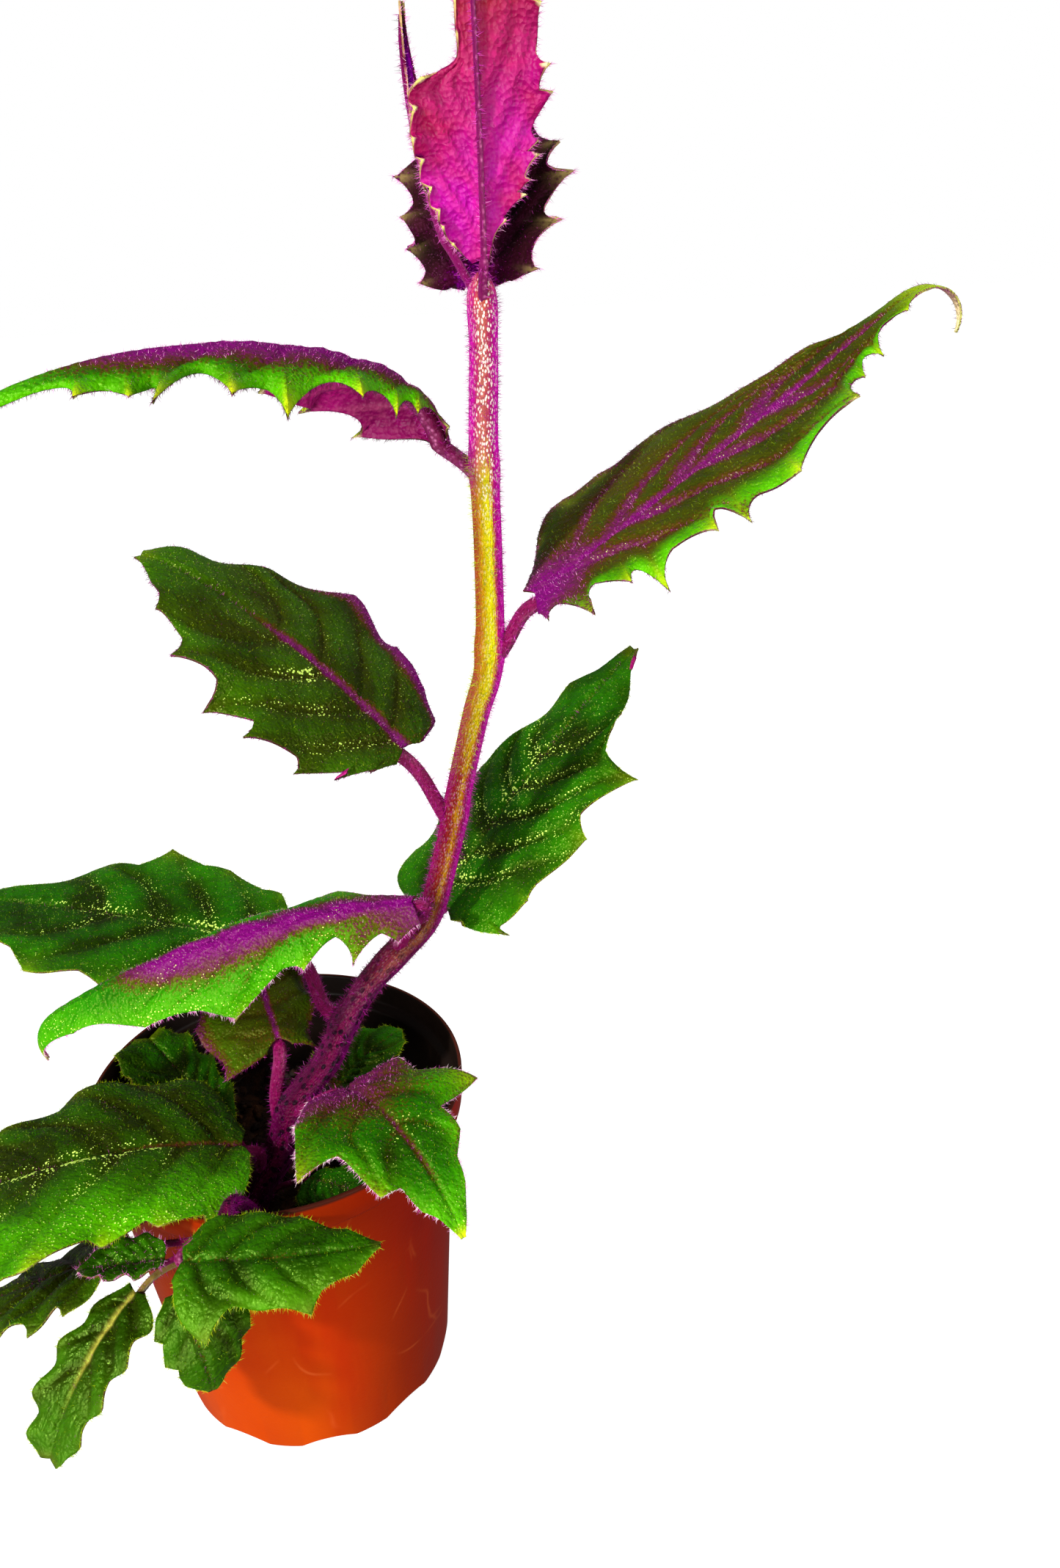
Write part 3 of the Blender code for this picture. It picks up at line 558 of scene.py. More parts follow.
def between_ends(ends, share):
    """A value that changes evenly from base to tip."""
    return ends[0] + (ends[1] - ends[0]) * share


def midrib(leaf, along):
    """Points of the midrib and its frame there: forward, the upper face's normal, and to the right."""
    steps = (np.arange(MIDRIB_STEPS) + 0.5) / MIDRIB_STEPS

    def course(u):
        heading = between_ends(leaf["heading"], u)
        bend_from = leaf["bend_from"]
        tip_bend = leaf["hook"] * np.clip((u - bend_from) / (1 - bend_from), 0, 1) ** 1.5
        base_bend = leaf["arch"] * np.clip(1 - u / ARCH_TO, 0, 1) ** 2
        rise = between_ends(leaf["rise"], u) + tip_bend + base_bend
        return heading, rise

    walk = direction(*course(steps)) * leaf["length"] / MIDRIB_STEPS
    line = np.concatenate([[np.zeros(3)], np.cumsum(walk, 0)]) + np.array(leaf["base"], float)
    marks = np.linspace(0, 1, MIDRIB_STEPS + 1)
    points = np.stack([np.interp(along, marks, line[:, i]) for i in range(3)], -1)
    forward = direction(*course(along))
    up = up_side(*course(along))
    right = np.cross(forward, up)
    roll = np.radians(between_ends(leaf["roll"], along))[:, None]
    rolled_up = up * np.cos(roll) + right * np.sin(roll)
    return points, forward, rolled_up, right * np.cos(roll) - up * np.sin(roll)


def width_along(leaf, along):
    """Half width of the blade as a share of its greatest."""
    grow, fade = leaf["growth"]
    widest = grow / (grow + fade)
    along = np.clip(along, 0, 1)
    return (along**grow * (1 - along) ** fade) / (widest**grow * (1 - widest) ** fade)


def teeth_of(name, leaf):
    """Places and reaches of the teeth on the left and right margins."""
    if name in TEETH:
        return [np.array(side, float).T for side in TEETH[name]]
    count, depth = leaf["teeth"]
    span = (TEETH_TO - TEETH_FROM) / count
    tips = TEETH_FROM + span * (np.arange(count) + leaf["lean"])
    return [np.array([tips - 0.15 * span * side, np.full(count, depth * 1.15)]) for side in (0, 1)]


def bays_of(tips, lean):
    """The lowest places of a margin, before, between and after its teeth."""
    gaps = np.diff(tips)
    first = max(0.0, tips[0] - gaps[0] * lean)
    last = min(0.99, tips[-1] + gaps[-1] * (1 - lean))
    return np.concatenate([[first], tips[:-1] + gaps * (1 - lean), [last]])


def tooth_height(along, tips, lean, form):
    """From 0 in the bays to 1 at the teeth's tips, and the tooth each place belongs to."""
    bays = bays_of(tips, lean)
    which = np.clip(np.searchsorted(bays, along, side="right") - 1, 0, len(tips) - 1)
    tip = tips[which]
    before, after = bays[which], bays[which + 1]
    x = np.where(along <= tip, (along - before) / np.maximum(tip - before, 1e-6),
                 (after - along) / np.maximum(after - tip, 1e-6))
    x = np.where((along < bays[0]) | (along > bays[-1]), 0, np.clip(x, 0, 1))
    if form < 0:
        return x * (1 + form) - form * (0.5 - 0.5 * np.cos(math.pi * x)), which
    return x * (1 - form) + form * (0.5 * (1 - np.sqrt(1 - x * x)) + 0.5 * x**2), which


def rows_along(name, leaf, cell):
    """Places along the blade, with one on each bay and tooth tip of both margins."""
    margins = [tips for tips, _ in teeth_of(name, leaf)]
    marks = np.concatenate([np.concatenate([tips, bays_of(tips, leaf["lean"])]) for tips in margins])
    even = np.linspace(0, 0.9985, round(leaf["length"] / cell))
    clear = np.min(np.abs(even[:, None] - marks[None]), axis=1) > 0.35 * cell / leaf["length"]
    clear[[0, -1]] = True
    found = np.sort(np.concatenate([even[clear], marks]))
    return found[np.concatenate([[True], np.diff(found) > 0.12 * cell / leaf["length"]])]


def columns_across(leaf, cell):
    """Places across the blade, closer together by the midrib and the margins."""
    count = max(7, round(max(leaf["half"]) / cell))
    t = np.linspace(0, 1, count + 1)
    side = t - 0.0175 * np.sin(4 * math.pi * t)
    return np.concatenate([-side[:0:-1], side])


def half_width(name, leaf, side, along):
    """Half width of the blade without its teeth."""
    if name not in OUTLINES:
        return leaf["half"][side] * width_along(leaf, along)
    places, halves = np.array(OUTLINES[name][side], float).T
    shifts = np.linspace(-0.025, 0.025, 7)
    return sum(np.interp(along + shift, places, halves) for shift in shifts) / len(shifts)


def vein_fields(name, leaf, along, across):
    """Millimetres from the midrib and from the nearest side vein, and how many veins have been passed."""
    count, lead = leaf["veins"]
    starts = VEINS_FROM + VEINS_SPAN * (np.arange(count) / count) ** 1.1
    halves = np.stack([half_width(name, leaf, side, along) for side in (0, 1)], 1)
    halves = halves[:, (across > 0).astype(int)]
    to_vein = np.empty((len(along), len(across)))
    passed = np.empty_like(to_vein)
    for j, q in enumerate(across):
        own = starts + (RIGHT_VEINS_LATER if q > 0 else 0)
        reach = lead * half_width(name, leaf, int(q > 0), np.clip(own + 0.1, 0, 1)) / leaf["length"]
        veins = own + reach * abs(q) ** 1.35
        marks = np.concatenate([[-0.1], veins, [1.12]])
        passed[:, j] = np.interp(along, marks, np.arange(-1, count + 1))
        near = np.abs(along[:, None] - veins[None]).min(1)
        to_vein[:, j] = near * leaf["length"] / math.hypot(1, lead) ** 0.5
    return np.abs(across)[None] * halves, to_vein, passed


def blade_surface(name, leaf, along, across, seed):
    """Points of the blade's upper face with its veins, quilting and waves, and values for its colours."""
    draw = np.random.default_rng(seed)
    sides = teeth_of(name, leaf)
    middle, forward, up, right = midrib(leaf, along)
    sweep = between_ends(leaf["sweep"], along)
    to_rib, to_vein, passed = vein_fields(name, leaf, along, across)
    points = np.empty((len(along), len(across), 3))
    width = np.empty((len(along), len(across)))
    toothed = np.empty((len(along), len(across)))
    curl = math.radians(leaf["curl"])
    for side, sign in enumerate((-1, 1)):
        tips, reaches = sides[side]
        height, which = tooth_height(along, tips, leaf["lean"], leaf["form"][side])
        bend = np.radians(draw.normal(leaf["turn"][side], TURN_SPREAD, len(tips)))[which]
        own = reaches[which]
        shallow = np.interp(along, tips, reaches)
        base_half = half_width(name, leaf, side, along)
        room = np.clip(base_half / 8, 0, 1)
        out = (own * height * np.cos(bend) - NOTCH_SHARE * shallow) * room
        least = leaf["stalk"] * np.clip(1 - along * 6, 0, 1) + TIP_LEAST
        half = np.maximum(base_half, least)
        fold = math.radians(leaf["fold"][side])
        chosen = across <= 0 if side == 0 else across >= 0
        a = np.abs(across[chosen])
        if curl:
            level = (np.sin(fold + curl * a) - np.sin(fold)) / curl
            lift = (np.cos(fold) - np.cos(fold + curl * a)) / curl
        else:
            level, lift = a * math.cos(fold), a * math.sin(fold)
        aside = sign * (level[None] * half[:, None] + a**4 * out[:, None])
        pointed = (leaf["point"][side] * own * height * room)[:, None]
        ahead = (sweep * half)[:, None] * a + a**4 * pointed
        rise = lift[None] * half[:, None] - a**6 * (np.sin(bend) * own * height * room)[:, None]
        points[:, chosen] = (middle[:, None] + right[:, None] * aside[..., None]
                             + up[:, None] * rise[..., None] + forward[:, None] * ahead[..., None])
        width[:, chosen] = half[:, None] * np.ones_like(a)
        toothed[:, chosen] = (height**2 * np.clip(own / 4, 0, 1))[:, None] * a**8
    a = np.abs(across)[None]
    u = along[:, None]
    turn = draw.uniform(0, 2 * math.pi, 6)
    size = np.clip(width / 14, 0, 1)
    inner = np.clip(a / 0.15, 0, 1) * (1 - a**6)
    crest = np.abs(np.sin(math.pi * passed)) ** 0.8
    relief = QUILT * size * inner * crest
    relief = relief - VEIN_GROOVE * size * np.exp(-((to_vein / 0.8) ** 2)) * (1 - a**3)
    relief = relief - RIB_GROOVE * np.clip(width / 8, 0.2, 1) * np.exp(-((to_rib / 1.0) ** 2))
    ahead = u * leaf["length"]
    beside = a * width
    lumps = np.sin(ahead * 1.25 + turn[0] + 2 * np.sin(beside * 0.35)) * np.sin(beside * 1.05 + turn[1])
    lumps = lumps + 0.6 * np.sin(ahead * 2.3 + turn[2] + beside) * np.sin(beside * 2.1 + turn[3])
    relief = relief + (SHOOT_LUMPS if "shoot" in name else LUMPS) * size * inner * lumps
    waves = np.sin(2 * math.pi * (u * 4.3 + np.sign(across)[None] * 0.21) + turn[4])
    relief = relief + MARGIN_WAVE * a**3 * size * waves
    points = points + up[:, None] * relief[..., None]
    return points, dict(to_rib=to_rib, to_vein=to_vein, toothed=toothed, crest=crest)


def surface_normals(points):
    """Upper side's normals of a grid of points."""
    du = np.gradient(points, axis=0)
    dv = np.gradient(points, axis=1)
    return unit(np.cross(dv, du))


def soft_step(value, low, high):
    t = np.clip((value - low) / (high - low), 0, 1)
    return t * t * (3 - 2 * t)


def bell(value, width):
    """1 where the value is 0, and less and less away from there."""
    return np.exp(-((value / width) ** 2))


def leaf_colours(look, along, across, values):
    """Values from 0 to 1 for the finish: purple, glow (painted light), tip, light, olive, vein and glint
    (painted glints).
    """
    a = np.abs(across)[None] * np.ones((len(along), 1))
    u = along[:, None] * np.ones((1, len(across)))
    left = (across < 0)[None]
    spread = look["spread"] * (1.3 - u)
    rib = bell(values["to_rib"], 0.8 + spread)
    vein = bell(values["to_vein"], look["vein_width"] + 0.8 * spread * (1 - a)) * (1 - 0.6 * a)
    fade = 1 - soft_step(u, look["fades"] - 0.3, look["fades"])
    edge = np.where(left, *look["edges"]) * soft_step(a, 0.7, 1.0)
    purple = np.maximum.reduce([
        look["rib"] * rib * fade, look["veins"] * vein * fade,
        look["base"] * (1 - soft_step(u + 0.1 * a, 0.02, look["base_reach"])),
        look["ridge"] * bell(a, look["ridge_reach"]) * fade, edge * fade])
    # Painted light: bright green towards each margin, its strength set for each half, standing in for light
    # shining through the blade; the tip gets it too.
    glow = np.where(left, *look["glow"]) * soft_step(a, look["glow_from"], 0.98)
    glow = np.maximum(glow, look["tip"] * soft_step(u, 0.7, 0.97))
    tip = np.maximum.reduce([
        np.clip(values["toothed"] * 1.5, 0, 1) ** 1.5 * np.maximum(0.4 * glow, look["teeth"]),
        look["pale_rib"] * bell(values["to_rib"], 0.6) * (1 - soft_step(u, 0.3, 0.8)),
        soft_step(u, look["tip_from"], 1.0) * look["tip"]])
    # Painted shade and light: the green darkens in the valleys over the side veins and lightens on the cushions
    # between them.
    light = look["light"] + 0.3 * (a - 0.5) * look["light"] + 0.5 * (values["crest"] - 0.6)
    # Painted glints: pale highlight spots beside the side veins and the rib, and where the painted light is.
    beside = bell(values["to_vein"] - 1.3, 1.1) * (1 - 0.5 * a)
    by_rib = bell(values["to_rib"] - 1.7, 1.2) * (1 - soft_step(u, 0.5, 0.9))
    first, last = look["glint_span"]
    shown = soft_step(u, first - 0.05, first + 0.05) * (1 - soft_step(u, last - 0.2, last + 0.1))
    half = np.where(left, *look["glint_halves"])
    glint = np.maximum(0.75 * beside, look["rib_glint"] * by_rib) * shown * half
    glint = look["glint"] * np.maximum(np.maximum(0.2, glint), look["glow_glint"] * glow)
    return dict(purple=purple, glow=glow, tip=tip, light=light, olive=look["olive"] * (1 - glow),
                vein=np.maximum(rib, vein), glint=glint)


def stem_place(leaf, path):
    """Centre, radius and direction of the stem at the place where a leaf's stalk leaves it."""
    if leaf["stem"] == "main":
        index = np.interp(leaf["leaves_at"], path[:, 2], np.arange(len(path)))
    else:
        index = leaf["leaves_at"] * (len(path) - 1)
    low = min(int(index), len(path) - 2)
    part = index - low
    place = path[low] * (1 - part) + path[low + 1] * part
    return place[:3], place[3], unit((path[low + 1] - path[low])[:3])


def stalk_line(leaf, path):
    """The stalk's centre line, which parts from the stem at a slant and bends into the blade's base."""
    centre, radius, tangent = stem_place(leaf, path)
    base = np.array(leaf["base"], float)
    outward = base - centre
    rising = np.sign(outward @ tangent) or 1.0
    outward -= tangent * (outward @ tangent)
    outward = unit(outward)
    forward = midrib(leaf, np.zeros(1))[1][0]
    reach = np.linalg.norm(base - centre)
    start = centre + outward * radius * 0.25 - tangent * rising * radius * 0.8
    leave = start + (outward * 0.75 + tangent * rising * STALK_SLANT) * reach * STALK_LEAVE
    arrive = base - forward * reach * STALK_ARRIVE
    t = np.linspace(0, 1, max(10, round(reach / 0.9)))[:, None]
    back = 1 - t
    return start * back**3 + 3 * leave * t * back**2 + 3 * arrive * t**2 * back + base * t**3


def make_stalk(name, leaf, path):
    """The stalk and the rib under the blade, as one tapering tube with ridges along it."""
    line = stalk_line(leaf, path)
    rib_to = leaf["rib_to"]
    along = np.linspace(0.02, rib_to, 60)
    points, _, up, right = midrib(leaf, along)
    start = len(line)
    depth = leaf["stalk"] * (1 - along) + 1.1
    whole = np.concatenate([line, points - up * depth[:, None]])
    rib = leaf["stalk"] * (1 - along) ** 0.9 * leaf["rib_size"] + RIB_LEAST
    rib *= np.clip((rib_to - along) / 0.12 + 0.25, 0.25, 1)
    radii = np.concatenate([np.full(start, leaf["stalk"]), rib])
    near = np.linspace(0, 1, start)[:, None]
    whole[:start] -= up[0] * near**3 * (leaf["stalk"] + 1.1)
    radii[:start] *= 0.9 + 0.25 * (near[:, 0] - 0.5) ** 2 + 0.25 * np.exp(-near[:, 0] * 9)
    angle = np.linspace(0, 2 * math.pi, STALK_SIDES + 1)
    ridged = radii[:, None] * (0.05 * np.cos(5 * angle) - 0.1 * bell(angle - math.pi / 2, 0.45))
    tube, ring = tube_points(whole, radii, STALK_SIDES, right[0], ridged)
    return tube_piece(name, tube), tube, ring


def make_leaf(name, leaf, path, seed, cell):
    look = {**PLAIN, **LOOKS.get(name, {})}
    along = rows_along(name, leaf, cell)
    across = columns_across(leaf, cell * 1.15)
    points, values = blade_surface(name, leaf, along, across, seed)
    piece = shaped_grid(name, len(along), len(across), points)
    colours = leaf_colours(look, along, across, values)
    for key, value in colours.items():
        write_values(piece, key, value.transpose())
    for finish in FINISHES["young" if "tip" in name else "shoot" if "shoot" in name else "grown"]:
        piece.data.materials.append(finish)
    edit(piece, (bpy.ops.mesh.flip_normals, {}))
    apply_modifier(piece, "SOLIDIFY", thickness=BLADE * MM, offset=-1, material_offset=1,
                   material_offset_rim=2, use_even_offset=False)
    stalk, tube, ring = make_stalk(name + "_stalk", leaf, path)
    kind = "young stalk" if "tip" in name else "pale stalk" if look["pale"] else "stalk"
    stalk.data.materials.append(FINISHES[kind])
    piece = joined([piece, stalk])
    edit(piece, (bpy.ops.mesh.normals_make_consistent, dict(inside=False)))
    piece.name = piece.data.name = name + "_blade"
    finish_piece(piece, [name])
    return points, surface_normals(points), tube, ring, colours["purple"]


# Materials.


def node(tree, kind, values=None, **settings):
    """Adds a shader node; a value that is a socket is linked."""
    made = tree.nodes.new(kind)
    for key, value in settings.items():
        setattr(made, key, value)
    for key, value in (values or {}).items():
        if isinstance(value, bpy.types.NodeSocket):
            tree.links.new(value, made.inputs[key])
        else:
            made.inputs[key].default_value = value
    return made


def tint(colour):
    """Linear values of a display colour; a socket or linear values stay as they are."""
    return srgb(*colour) if isinstance(colour, tuple) and len(colour) == 3 else colour


def mixed(tree, factor, one, two, blend="MIX"):
    """The colour between two, by a factor."""
    values = {0: factor, 6: tint(one), 7: tint(two)}
    return node(tree, "ShaderNodeMix", values, data_type="RGBA", blend_type=blend).outputs[2]


def sums(tree, operation, one, two):
    return node(tree, "ShaderNodeMath", {0: one, 1: two}, operation=operation).outputs[0]


def plus(tree, one, two):
    return sums(tree, "ADD", one, two)


def minus(tree, one, two):
    return sums(tree, "SUBTRACT", one, two)


def times(tree, one, two):
    return sums(tree, "MULTIPLY", one, two)


def off(tree, value, middle):
    """How far a value is from a middle, either way."""
    return sums(tree, "ABSOLUTE", minus(tree, value, middle), 0.0)


def vectors(tree, operation, one, two):
    return node(tree, "ShaderNodeVectorMath", {0: one, 1: two}, operation=operation).outputs[0]


def between(tree, value, low, high, to_low=0.0, to_high=1.0):
    """The value carried from one range to another, clamped."""
    values = {0: value, 1: low, 2: high, 3: to_low, 4: to_high}
    return node(tree, "ShaderNodeMapRange", values).outputs[0]


def axes(tree, vector):
    """The three coordinates of a place."""
    return node(tree, "ShaderNodeSeparateXYZ", {0: vector}).outputs


def attribute(tree, name):
    return node(tree, "ShaderNodeAttribute", attribute_name=name).outputs["Fac"]


def place(tree, kind="Object", scale=(1, 1, 1)):
    """Coordinates of the piece, scaled."""
    source = node(tree, "ShaderNodeTexCoord").outputs[kind]
    return node(tree, "ShaderNodeMapping", {"Vector": source, "Scale": scale}).outputs[0]


def noise(tree, vector, scale, detail=2.0, roughness=0.5):
    values = {"Vector": vector, "Scale": scale, "Detail": detail, "Roughness": roughness}
    return node(tree, "ShaderNodeTexNoise", values).outputs["Fac"]


def cells(tree, vector, scale, feature="F1"):
    values = {"Vector": vector, "Scale": scale}
    return node(tree, "ShaderNodeTexVoronoi", values, feature=feature).outputs["Distance"]


def new_finish(name, **sockets):
    """A material with its Principled shader, whose plain values are set on its own sockets."""
    made = bpy.data.materials.new(name)
    made.use_nodes = True
    tree = made.node_tree
    shader = tree.nodes["Principled BSDF"]
    for key, value in sockets.items():
        shader.inputs[key.replace("_", " ").title().replace("Ior", "IOR")].default_value = value
    return made, tree, shader


def dress(tree, shader, colour, rough=None, height=None, distance=0.0006, strength=0.8):
    """Links a finish's colour, the range of its roughness and its relief to its shader."""
    tree.links.new(colour, shader.inputs["Base Color"])
    if rough:
        tree.links.new(between(tree, *rough), shader.inputs["Roughness"])
    if height:
        values = {"Height": height, "Distance": distance, "Strength": strength}
        tree.links.new(node(tree, "ShaderNodeBump", values).outputs[0], shader.inputs["Normal"])


def ramp(tree, factor, stops):
    """A colour ramp through (place, colour) stops."""
    made = node(tree, "ShaderNodeValToRGB", {"Fac": factor})
    elements = made.color_ramp.elements
    elements[0].position, elements[0].color = stops[0][0], tint(stops[0][1])
    elements[1].position, elements[1].color = stops[-1][0], tint(stops[-1][1])
    for position, colour in stops[1:-1]:
        elements.new(position).color = tint(colour)
    return made.outputs[0]


def leaf_top_finish(name, dark, mid, bright, tip, olive, dusky, purple, gloss, glint, grain_depth, shine):
    """The hairy upper side of a leaf, with painted glints, pale highlight spots, along its veins, and painted
    light along its margins.
    """
    made, tree, shader = new_finish(name, specular_tint=srgb(*gloss))
    where = place(tree)
    patches = noise(tree, where, 60, 3)
    fine = noise(tree, where, 420, 2)
    grain = cells(tree, where, 1150)
    lightness = plus(tree, attribute(tree, "light"), between(tree, patches, 0.35, 0.65, -0.3, 0.25))
    lightness = times(tree, lightness, between(tree, fine, 0.3, 0.7, 0.75, 1.15))
    colour = mixed(tree, lightness, dark, mid)
    browned = times(tree, attribute(tree, "olive"), between(tree, patches, 0.3, 0.6, 0.5, 1.0))
    colour = mixed(tree, browned, colour, olive)
    # Painted light: the bright green of the margins and the tip.
    painted_glow = times(tree, attribute(tree, "glow"), between(tree, fine, 0.25, 0.6, 0.7, 1.05))
    painted_glow = times(tree, painted_glow, between(tree, patches, 0.35, 0.55, 0.65, 1.1))
    colour = mixed(tree, painted_glow, colour, bright)
    colour = mixed(tree, attribute(tree, "tip"), colour, tip)
    haired = attribute(tree, "purple")
    hairs = plus(tree, haired, between(tree, grain, 0.1, 0.6, 0.09, -0.16))
    hairs = plus(tree, hairs, between(tree, patches, 0.35, 0.65, -0.08, 0.08))
    colour = mixed(tree, between(tree, hairs, 0.1, 0.42), colour, dusky)
    colour = mixed(tree, between(tree, hairs, 0.35, 0.8), colour, purple)
    # Painted glints: pale highlight spots in the glint colour, fewest where the leaf is purple.
    painted_glints = times(tree, attribute(tree, "glint"), between(tree, patches, 0.35, 0.6, 0.25, 0.62))
    painted_glints = minus(tree, minus(tree, painted_glints, grain), times(tree, haired, 0.2))
    colour = mixed(tree, between(tree, painted_glints, -0.03, 0.05, 0.0, 0.95), colour, glint)
    tree.links.new(between(tree, haired, 0.2, 0.8, shine, 0.12), shader.inputs["Specular IOR Level"])
    net = times(tree, between(tree, cells(tree, where, 300, "DISTANCE_TO_EDGE"), 0.0, 0.2), 0.28)
    height = plus(tree, net, times(tree, grain, -grain_depth))
    dress(tree, shader, colour, (fine, 0.3, 0.7, 0.28, 0.46), height, strength=0.9)
    return made


# The level, in metres and lowered towards +X, above which the young leaves' undersides are crimson.
YOUNG_TURN = 0.316


def leaf_under_finish(name, deep, mid, pale, far=None):
    """The magenta underside, with paler veins. A young leaf's turns to crimson towards its tip."""
    made, tree, shader = new_finish(
        name, sheen_weight=0.1, sheen_roughness=0.4, sheen_tint=srgb(255, 60, 235), specular_ior_level=0.2)
    where = place(tree)
    patches = noise(tree, where, 70, 3)
    fine = noise(tree, where, 500, 2)
    colour = mixed(tree, between(tree, patches, 0.35, 0.65), deep, mid)
    if far:
        right, _, high = axes(tree, where)
        rise = plus(tree, high, times(tree, right, -0.6))
        rise = plus(tree, rise, between(tree, patches, 0.3, 0.7, -0.008, 0.008))
        colour = mixed(tree, between(tree, rise, YOUNG_TURN - 0.012, YOUNG_TURN + 0.012), colour, far)
    colour = mixed(tree, times(tree, attribute(tree, "vein"), 0.4), colour, pale)
    colour = mixed(tree, between(tree, fine, 0.5, 0.75, 0, 0.25), colour, pale)
    colour = mixed(tree, between(tree, attribute(tree, "tip"), 0.5, 0.95), colour, (235, 225, 160))
    height = plus(tree, fine, cells(tree, where, 900))
    dress(tree, shader, colour, (fine, 0.3, 0.7, 0.38, 0.6), height, strength=0.7)
    return made


def leaf_margin_finish(name, colour, pale):
    """The thin line round a leaf."""
    made, tree, shader = new_finish(name, specular_ior_level=0.2, roughness=0.5)
    spots = noise(tree, place(tree), 260, 2)
    toned = mixed(tree, between(tree, spots, 0.4, 0.65, 0, 0.7), colour, pale)
    toned = mixed(tree, attribute(tree, "tip"), toned, (225, 225, 110))
    dress(tree, shader, toned, None, spots, 0.0003, 0.5)
    return made


def stalk_finish(name, edge, body, crest):
    """Stalks, with a painted highlight: a pale speckled streak along their upper side."""
    made, tree, shader = new_finish(
        name, sheen_weight=0.05, sheen_roughness=0.35, sheen_tint=srgb(255, 0, 220), specular_ior_level=0.35)
    around = axes(tree, node(tree, "ShaderNodeTexCoord").outputs["UV"])[1]
    # Painted highlight: the crest colour in pale specks along a streak on the upper side.
    on_highlight_streak = between(tree, off(tree, around, 0.3), 0.03, 0.13, 1.0, 0.0)
    streaks = noise(tree, place(tree, "UV", (5, 26, 1)), 6, 3)
    specks = cells(tree, place(tree), 900)
    colour = mixed(tree, between(tree, streaks, 0.38, 0.62), edge, body)
    lit = times(tree, on_highlight_streak, between(tree, specks, 0.15, 0.5, 1.0, 0.1))
    colour = mixed(tree, lit, colour, crest)
    colour = mixed(tree, between(tree, specks, 0.0, 0.2, 0.4, 0.0), colour, (255, 150, 225))
    dress(tree, shader, colour, (streaks, 0.3, 0.7, 0.28, 0.5), plus(tree, streaks, specks))
    return made


# The stem's bands from its foot up: purple, brown and olive, yellow green, and rose. Each has the heights in
# metres over which it takes over from the band below, and its colours round the stem, from its left side over
# its front to its right side. The magenta towards the right side, and at both sides of the top band, is partly
# the hairs' own colour and partly painted sheen.
STEM_BANDS = (
    (None, (
        (0.0, (98, 0, 66)), (0.25, (60, 0, 34)), (0.4, (105, 0, 58)), (0.62, (74, 0, 52)),
        (0.9, (135, 0, 112)))),
    ((0.14, 0.175), (
        (0.0, (130, 0, 78)), (0.15, (112, 4, 30)), (0.32, (125, 34, 4)), (0.45, (165, 118, 0)),
        (0.55, (130, 45, 4)), (0.66, (145, 0, 84)), (0.86, (200, 0, 160)))),
    ((0.205, 0.238), (
        (0.0, (155, 55, 12)), (0.14, (170, 108, 0)), (0.3, (188, 172, 0)), (0.52, (206, 198, 0)),
        (0.6, (180, 80, 35)), (0.67, (185, 0, 108)), (0.85, (215, 0, 178)))),
    ((0.278, 0.288), (
        (0.0, (205, 0, 168)), (0.14, (168, 10, 92)), (0.3, (182, 100, 85)), (0.5, (170, 68, 70)),
        (0.64, (172, 0, 106)), (0.84, (218, 0, 182)))),
)
# How strongly painted sparkle shows on the stem, by height in metres: pale specks that stand in for light
# caught by its hairs.
PAINTED_SPARKLE = ((0.12, 0.0), (0.2, 0.15), (0.23, 0.12), (0.27, 0.15), (0.288, 1.0))


def stem_finish():
    """The stem's bands of colour, whose magenta sides are partly painted sheen, with painted sparkle in pale
    specks over its front and black dots on its foot.
    """
    made, tree, shader = new_finish(
        "Ribbed stem", sheen_weight=0.03, sheen_roughness=0.35, sheen_tint=srgb(255, 0, 220),
        specular_ior_level=0.12)
    high = axes(tree, place(tree))[2]
    streaks = noise(tree, place(tree, "UV", (9, 20, 1)), 7, 4)
    turn = plus(tree, attribute(tree, "flank"), between(tree, streaks, 0.25, 0.75, -0.13, 0.13))
    wander = plus(tree, high, between(tree, streaks, 0.2, 0.8, -0.014, 0.014))
    for span, stops in STEM_BANDS:
        band = ramp(tree, turn, stops)
        colour = mixed(tree, between(tree, wander, *span), colour, band) if span else band
    colour = mixed(tree, between(tree, wander, 0.318, 0.328, 0, 0.8), colour, (205, 80, 20))
    # Painted sparkle: pale specks, strongest over the front and towards the top.
    specks = cells(tree, place(tree, "UV", (300, 42, 1)), 1.0)
    front = between(tree, off(tree, turn, 0.5), 0.2, 0.42, 1.0, 0.25)
    share = ramp(tree, high, [(height, (grey, grey, grey, 1)) for height, grey in PAINTED_SPARKLE])
    pale = times(tree, between(tree, specks, 0.28, 0.48, 1.0, 0.0), share)
    colour = mixed(tree, times(tree, pale, front), colour, (255, 240, 225))
    dots = between(tree, cells(tree, place(tree, "UV", (105, 13, 1)), 1.0), 0.3, 0.38, 1.0, 0.0)
    dots = times(tree, dots, between(tree, high, 0.135, 0.165, 1.0, 0.0))
    colour = mixed(tree, dots, colour, (30, 0, 20))
    dress(tree, shader, colour, (streaks, 0.3, 0.7, 0.28, 0.5), plus(tree, streaks, specks))
    return made


def hair_finish():
    """The hairs: green tones up to 0.3, and above it from dark over purple to white."""
    made, tree, shader = new_finish("Soft hairs", roughness=0.4, specular_ior_level=0.3)
    colour = ramp(tree, attribute(tree, "tone"), (
        (0.0, (40, 140, 0)), (0.25, (185, 200, 10)), (0.3, (70, 8, 30)), (0.5, (190, 0, 160)),
        (0.75, (235, 100, 205)), (1.0, (255, 235, 235))))
    variation = between(tree, noise(tree, place(tree), 300, 1), 0.3, 0.7, 0.3, 0.0)
    dress(tree, shader, mixed(tree, variation, colour, (0, 0, 0), "SOFT_LIGHT"))
    return made


